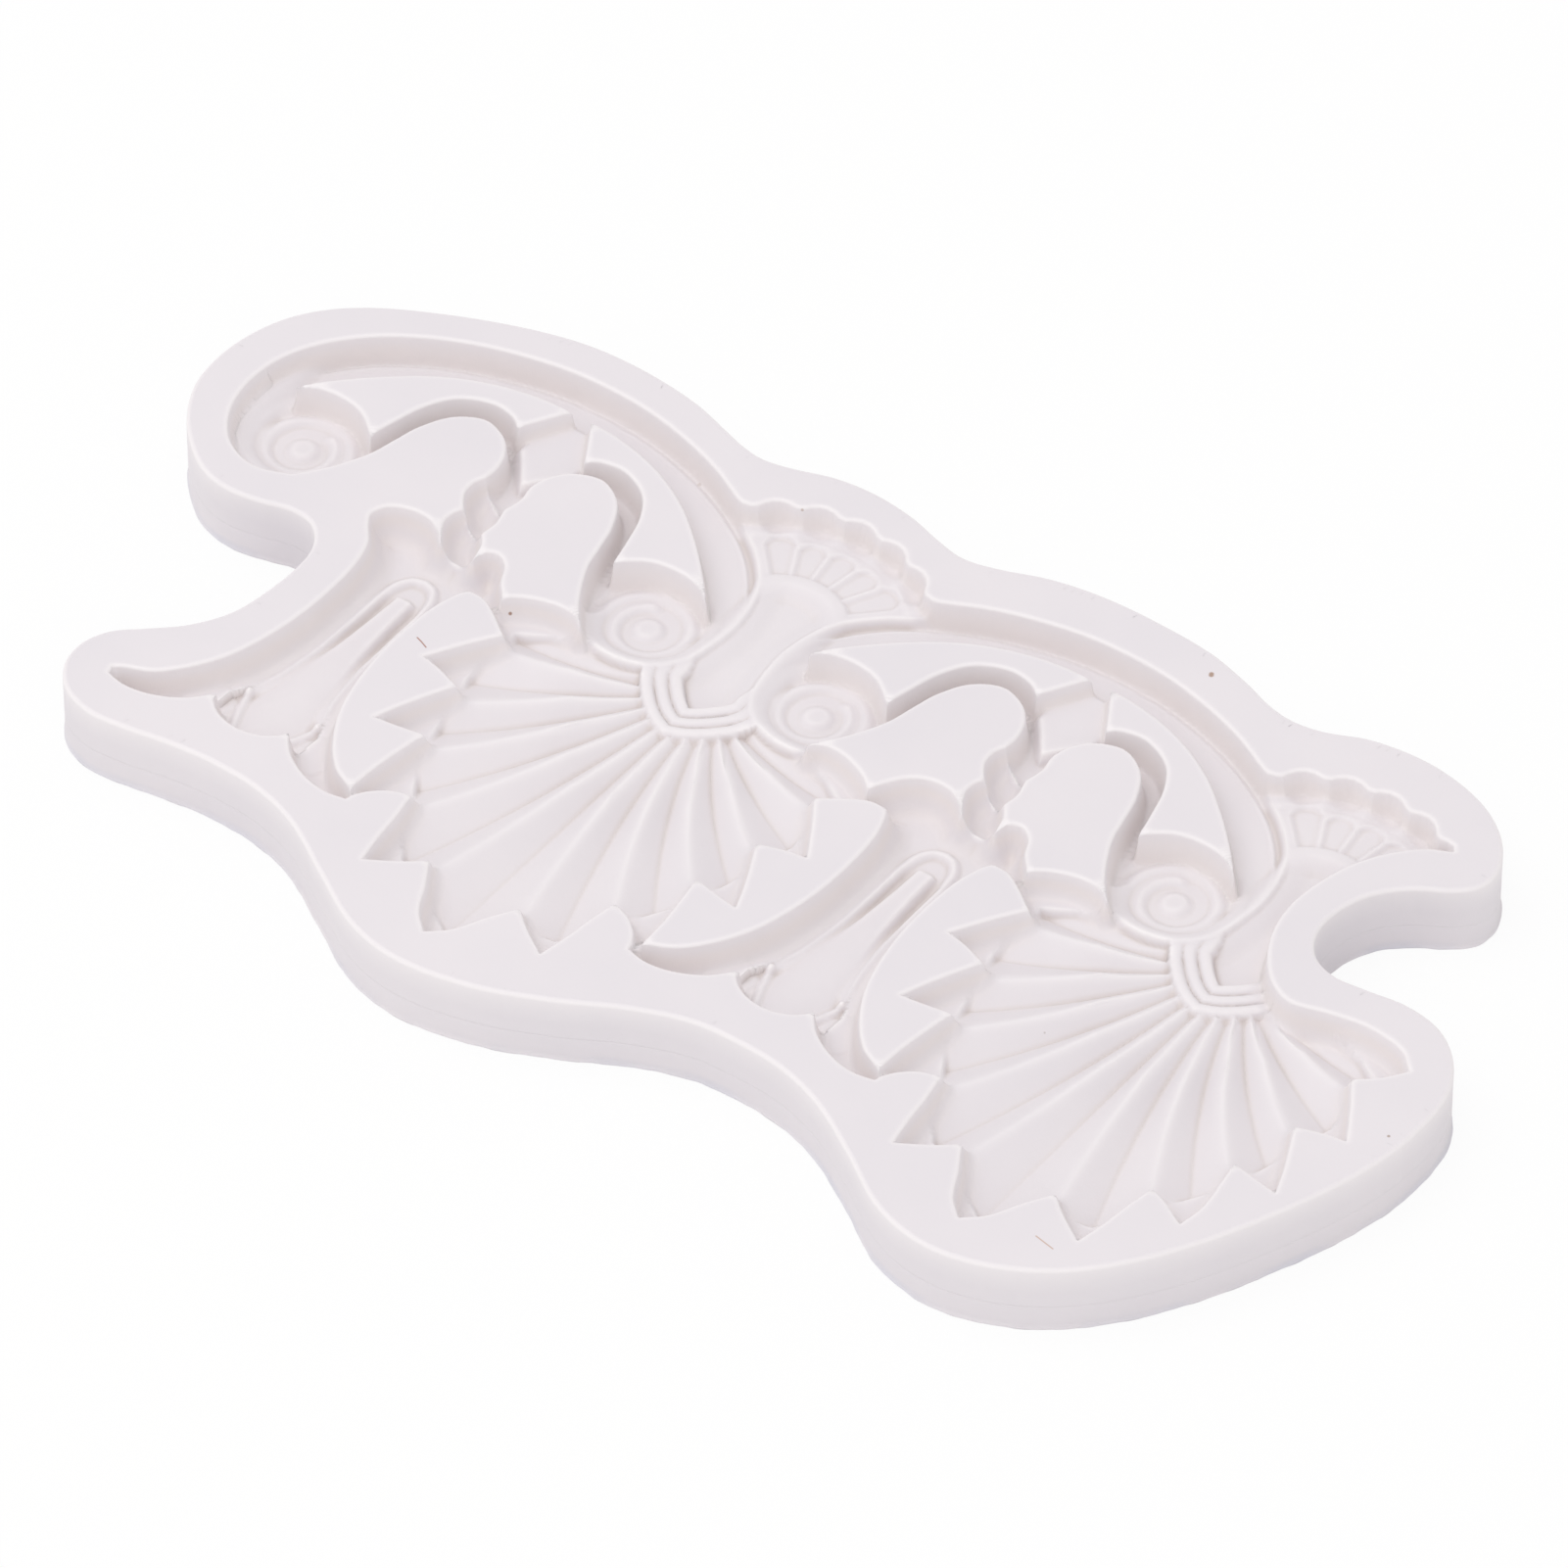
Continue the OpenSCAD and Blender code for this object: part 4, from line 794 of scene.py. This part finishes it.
def relief_piece(node):
    """The cells of one node. The rim also gets the zip and the upper part of the side."""
    j, i = np.nonzero(cell_piece == index[node])
    a = j * NX + i
    quads = np.stack([a, a + 1, a + 1 + NX, a + NX], -1)
    tris = np.zeros((0, 3), int)
    verts, normals, tones = POINTS.reshape(-1, 3), NORMALS.reshape(-1, 3).copy(), TONES
    if node == "rim_wall":
        first = len(verts)
        stepped, stepped_share = stepped_edge()
        normals[stepped] = (0, 0, 1)
        ring, ring_normals = rows(PROFILE_TOP, False)
        ring_tones = np.zeros((len(ring), 3))
        # Painted highlight along the rounded outer lip, row by row
        ring_tones[:, 1] = np.repeat(HIGHLIGHT_ROWS, n_ring)
        verts = np.concatenate([verts, ring])
        normals = np.concatenate([normals, ring_normals])
        tones = np.concatenate([tones, ring_tones])
        tris = zip_rings(stepped, stepped_share, first + np.arange(n_ring),
                         rim_share - 0.5 / n_ring)
        flat = verts[:, :2][tris]
        turned = np.cross(flat[:, 1] - flat[:, 0], flat[:, 2] - flat[:, 0])
        tris = np.where((turned < 0)[:, None], tris[:, ::-1], tris)[np.abs(turned) > 1e-12]
        quads = np.concatenate([quads, strip_faces(len(PROFILE_TOP), first)])
    used = np.unique(np.concatenate([quads.ravel(), tris.ravel()]))
    if len(used) == 0:
        raise ValueError(node + " has no cells")
    new_id = np.full(len(verts), -1)
    new_id[used] = np.arange(len(used))
    piece = build(node, verts[used], normals[used], new_id[tris], new_id[quads])
    finish_piece(node, piece, tones[used])


def sheet_piece():
    """Lower part of the side and the flat underside, which is one face inside the last row."""
    side, side_normals = rows(PROFILE_LOW, True)
    verts = np.concatenate([side, side[-n_ring:]])
    normals = np.concatenate([side_normals, np.tile([0, 0, -1.0], (n_ring, 1))])
    piece = build("base_sheet", verts, normals, np.zeros((0, 3), int),
                  strip_faces(len(PROFILE_LOW), 0))
    mesh = piece.data
    bm = bmesh.new()
    bm.from_mesh(mesh)
    bm.verts.ensure_lookup_table()
    bm.faces.new([bm.verts[len(side) + k] for k in range(n_ring)])
    bmesh.ops.triangulate(bm, faces=[f for f in bm.faces if len(f.verts) > 4])
    bm.to_mesh(mesh)
    bm.free()
    mesh.normals_split_custom_set_from_vertices(normals.astype(np.float32))
    finish_piece("base_sheet", piece, np.zeros((len(verts), 3)))


for name in NAMES:
    relief_piece(name)
sheet_piece()

# -------------------------------------------------------------------------
# Satin white silicone: cool white face, painted glow in hollows, painted highlight and shade,
# faint clouding, fine grain and specks
# -------------------------------------------------------------------------
FACE, FACE_DULL = (0.775, 0.742, 0.772), (0.75, 0.72, 0.755)
# Tints of the painted glow on walls and in hollows
GLOW_TINT, GLOW_TINT_DULL = (0.845, 0.785, 0.765), (0.82, 0.76, 0.735)
# Tint of the painted highlight on lips and crests
HIGHLIGHT_TINT = (0.9, 0.87, 0.88)
# Tint of the painted shade in creases
CREASE_SHADE = (0.66, 0.60, 0.585)
SPECK = (0.42, 0.36, 0.34)
# Tint of the painted shade along the foot of the side
FOOT_SHADE = (0.64, 0.65, 0.73)
# Dust, a hair and scratches: start, end if it is longer than a dot, half width and colour
MARKS = [
    ((-0.03429, 0.00527, 0.00617), None, 0.00024, (0.38, 0.25, 0.20)),
    ((-0.0316, 0.03258, 0.00458), None, 0.00028, (0.68, 0.62, 0.61)),
    ((-0.01922, 0.03309, 0.00773), None, 0.0002, (0.58, 0.50, 0.47)),
    ((0.02702, 0.03818, 0.008), (0.02712, 0.03800, 0.008), 0.00032, (0.42, 0.30, 0.24)),
    ((0.07756, -0.00318, 0.008), None, 0.00021, (0.46, 0.38, 0.34)),
    ((-0.03832, -0.00442, 0.008), (-0.03767, -0.00463, 0.008), 0.00009, (0.40, 0.20, 0.16)),
    ((-0.03767, -0.00463, 0.008), (-0.03678, -0.00500, 0.008), 0.00009, (0.40, 0.22, 0.18)),
    ((0.05858, -0.03394, 0.008), (0.06083, -0.03435, 0.008), 0.00010, (0.60, 0.46, 0.40)),
]


class Shader:
    """A node tree, empty at first, to which nodes are added by kind. An input is given as a
    value or as the output socket that feeds it, and a colour may leave out its alpha of 1."""

    def __init__(self, owner, output):
        owner.use_nodes = True
        self.tree = owner.node_tree
        self.tree.nodes.clear()
        self.output = self.tree.nodes.new("ShaderNodeOutput" + output)

    def add(self, kind, settings=None, **inputs):
        node = self.tree.nodes.new("ShaderNode" + kind)
        for key, value in (settings or {}).items():
            setattr(node, key, value)
        for key, value in inputs.items():
            self.feed(node.inputs[key.replace("_", " ")], value)
        return node

    def feed(self, socket, value):
        if isinstance(value, bpy.types.NodeSocket):
            self.tree.links.new(value, socket)
        elif isinstance(value, tuple) and len(socket.default_value) == 4:
            socket.default_value = (*value, 1)
        else:
            socket.default_value = value

    def math(self, operation, a, b):
        node = self.add("Math", {"operation": operation})
        self.feed(node.inputs[0], a)
        self.feed(node.inputs[1], b)
        return node.outputs[0]

    def vector(self, operation, a, b, output=0):
        node = self.add("VectorMath", {"operation": operation})
        self.feed(node.inputs[0], a)
        self.feed(node.inputs[1], b)
        return node.outputs[output]

    def mix(self, a, b, share):
        node = self.add("Mix", {"data_type": "RGBA"})
        for k, value in ((6, a), (7, b), (0, share)):
            self.feed(node.inputs[k], value)
        return node.outputs[2]

    def ramp(self, value, lo, hi, at_lo=0.0, at_hi=1.0):
        """Straight ramp from at_lo at lo to at_hi at hi, level beyond both."""
        return self.add("MapRange", Value=value, From_Min=lo, From_Max=hi, To_Min=at_lo,
                        To_Max=at_hi).outputs[0]

    def mix_shaders(self, first, second, share):
        node = self.add("MixShader")
        for k, value in enumerate((share, first.outputs[0], second.outputs[0])):
            self.feed(node.inputs[k], value)
        self.tree.links.new(node.outputs[0], self.output.inputs[0])


def silicone_shader():
    s = Shader(silicone, "Material")
    place = s.add("TexCoord").outputs["Object"]

    def noise(scale, detail):
        return s.add("TexNoise", Scale=scale, Detail=detail, Roughness=0.5,
                     Vector=place).outputs[0]

    def painted(label):
        return s.add("Attribute", {"attribute_name": label}).outputs["Fac"]

    face = s.mix(FACE, FACE_DULL, s.ramp(noise(60.0, 3.0), 0.35, 0.7))
    # Painted glow, warm and pale, on walls and in hollows
    glow = s.mix(GLOW_TINT, GLOW_TINT_DULL, s.ramp(noise(160.0, 3.0), 0.35, 0.7))
    colour = s.mix(face, glow, painted("warm"))
    # Painted highlight on lips and crests
    colour = s.mix(colour, HIGHLIGHT_TINT, painted("lip"))
    # Painted shade in creases
    colour = s.mix(colour, CREASE_SHADE, painted("crease_shade"))
    # Specks of dust in a few of the cells
    cells = s.add("TexVoronoi", Scale=160.0, Vector=place)
    dust = s.ramp(cells.outputs["Distance"], 0.012, 0.03, 1.0, 0.0)
    rare = s.ramp(noise(70.0, 0.0), 0.68, 0.69)
    colour = s.mix(colour, SPECK, s.math("MULTIPLY", dust, rare))
    # The share of the way from a to b is that of the nearest place on the line,
    # dot(p - a, b - a) / |b - a|^2 held to 0..1, and the mark fades over its half width
    for a, b, size, tone in MARKS:
        d = np.subtract(b, a) if b else np.array([1e-6, 0, 0])
        from_a = s.vector("SUBTRACT", place, a)
        along = s.ramp(s.vector("DOT_PRODUCT", from_a, d, "Value"), 0.0, float(d @ d))
        foot = s.add("VectorMath", {"operation": "SCALE"}, Scale=along)
        foot.inputs[0].default_value = d
        gap = s.vector("DISTANCE", from_a, foot.outputs[0], "Value")
        colour = s.mix(colour, tone, s.ramp(gap, size * 0.5, size, 1.0, 0.0))
    # Painted shade, cool and darker, that comes and goes along the foot of the side
    level = s.add("SeparateXYZ", Vector=place).outputs[2]
    shade = s.math("MULTIPLY", s.ramp(level, 0.0002, 0.0011, 0.6, 0.0),
                   s.ramp(noise(70.0, 3.0), 0.45, 0.62))
    colour = s.mix(colour, FOOT_SHADE, shade)
    grain = s.add("Bump", Strength=0.12, Distance=0.0001, Height=noise(5200.0, 2.0))
    soft = s.add("Bump", Strength=0.1, Distance=0.0006, Height=noise(240.0, 2.0),
                 Normal=grain.outputs[0])
    skin = s.add("BsdfPrincipled", Base_Color=colour, IOR=1.41, Sheen_Weight=0.08,
                 Roughness=s.ramp(noise(420.0, 2.0), 0.3, 0.7, 0.42, 0.55),
                 Sheen_Roughness=0.5, Normal=soft.outputs[0])
    s.tree.links.new(skin.outputs[0], s.output.inputs[0])


silicone_shader()
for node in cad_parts.values():
    node.data.materials.clear()
    node.data.materials.append(silicone)

# -------------------------------------------------------------------------
# Floor, light and camera
# -------------------------------------------------------------------------
FLOOR_SIDE, FLOOR_LEVEL = 4.0, -0.00002
SKY, SKY_LEVEL = (1.0, 0.985, 0.98), 0.82
# Name, place, side of the square, power and colour of each lamp. All are aimed at the mould
LAMPS = [("key_light", (-0.42, -0.24, 1.15), 1.0, 4.3, (1.0, 0.99, 0.98)),
         ("fill_light", (0.7, -0.9, 0.9), 0.9, 1.8, (1.0, 0.98, 0.97))]
# Camera: long lens, 44 degrees above the table, 37 degrees round from the petal side. EYE is in
# millimetres from the ornament's origin and above the top face
TURN, TILT = math.radians(-36.891), math.radians(44.225)
EYE = (705.268, -876.166, 1066.268)
FOCAL, SENSOR = 361.19, 36.0

bpy.ops.mesh.primitive_plane_add(size=FLOOR_SIDE, location=(0, 0, FLOOR_LEVEL))
floor = bpy.context.object
floor.name = "floor"
paper = bpy.data.materials.new("white_paper")
look = Shader(paper, "Material")
seen = look.add("LightPath").outputs["Is Camera Ray"]
look.mix_shaders(look.add("BsdfDiffuse", Color=(0.9, 0.9, 0.9)),
                 look.add("Emission", Color=(1, 1, 1), Strength=1.0),
                 look.math("MULTIPLY", seen, 0.9))
floor.data.materials.append(paper)

world = bpy.data.worlds.new("studio")
bpy.context.scene.world = world
look = Shader(world, "World")
look.mix_shaders(look.add("Background", Color=SKY, Strength=SKY_LEVEL),
                 look.add("Background", Color=(1, 1, 1), Strength=1.0),
                 look.add("LightPath").outputs["Is Camera Ray"])

for name, place, size, power, colour in LAMPS:
    lamp = bpy.data.lights.new(name, "AREA")
    lamp.shape, lamp.size, lamp.energy, lamp.color = "SQUARE", size, power, colour
    softbox = bpy.data.objects.new(name, lamp)
    softbox.location = place
    softbox.rotation_euler = (-Vector(place)).to_track_quat("-Z", "Y").to_euler()
    bpy.context.scene.collection.objects.link(softbox)

ahead = Vector((math.sin(TURN) * math.cos(TILT), math.cos(TURN) * math.cos(TILT), -math.sin(TILT)))
across = Vector((math.cos(TURN), -math.sin(TURN), 0))
up = across.cross(ahead)
lens = bpy.data.cameras.new("camera")
lens.sensor_fit, lens.sensor_width, lens.lens = "HORIZONTAL", SENSOR, FOCAL
lens.clip_start, lens.clip_end = 0.05, 20.0
camera = bpy.data.objects.new("camera", lens)
eye = ((EYE[0] - MID[0]) / 1000, (EYE[1] - MID[1]) / 1000, (TOP + EYE[2]) / 1000)
camera.matrix_world = Matrix([(across[k], up[k], -ahead[k], eye[k]) for k in range(3)]
                             + [(0, 0, 0, 1)])
bpy.context.scene.collection.objects.link(camera)
bpy.context.scene.camera = camera
bpy.context.scene.view_settings.view_transform = "Standard"

bpy.context.view_layer.update()
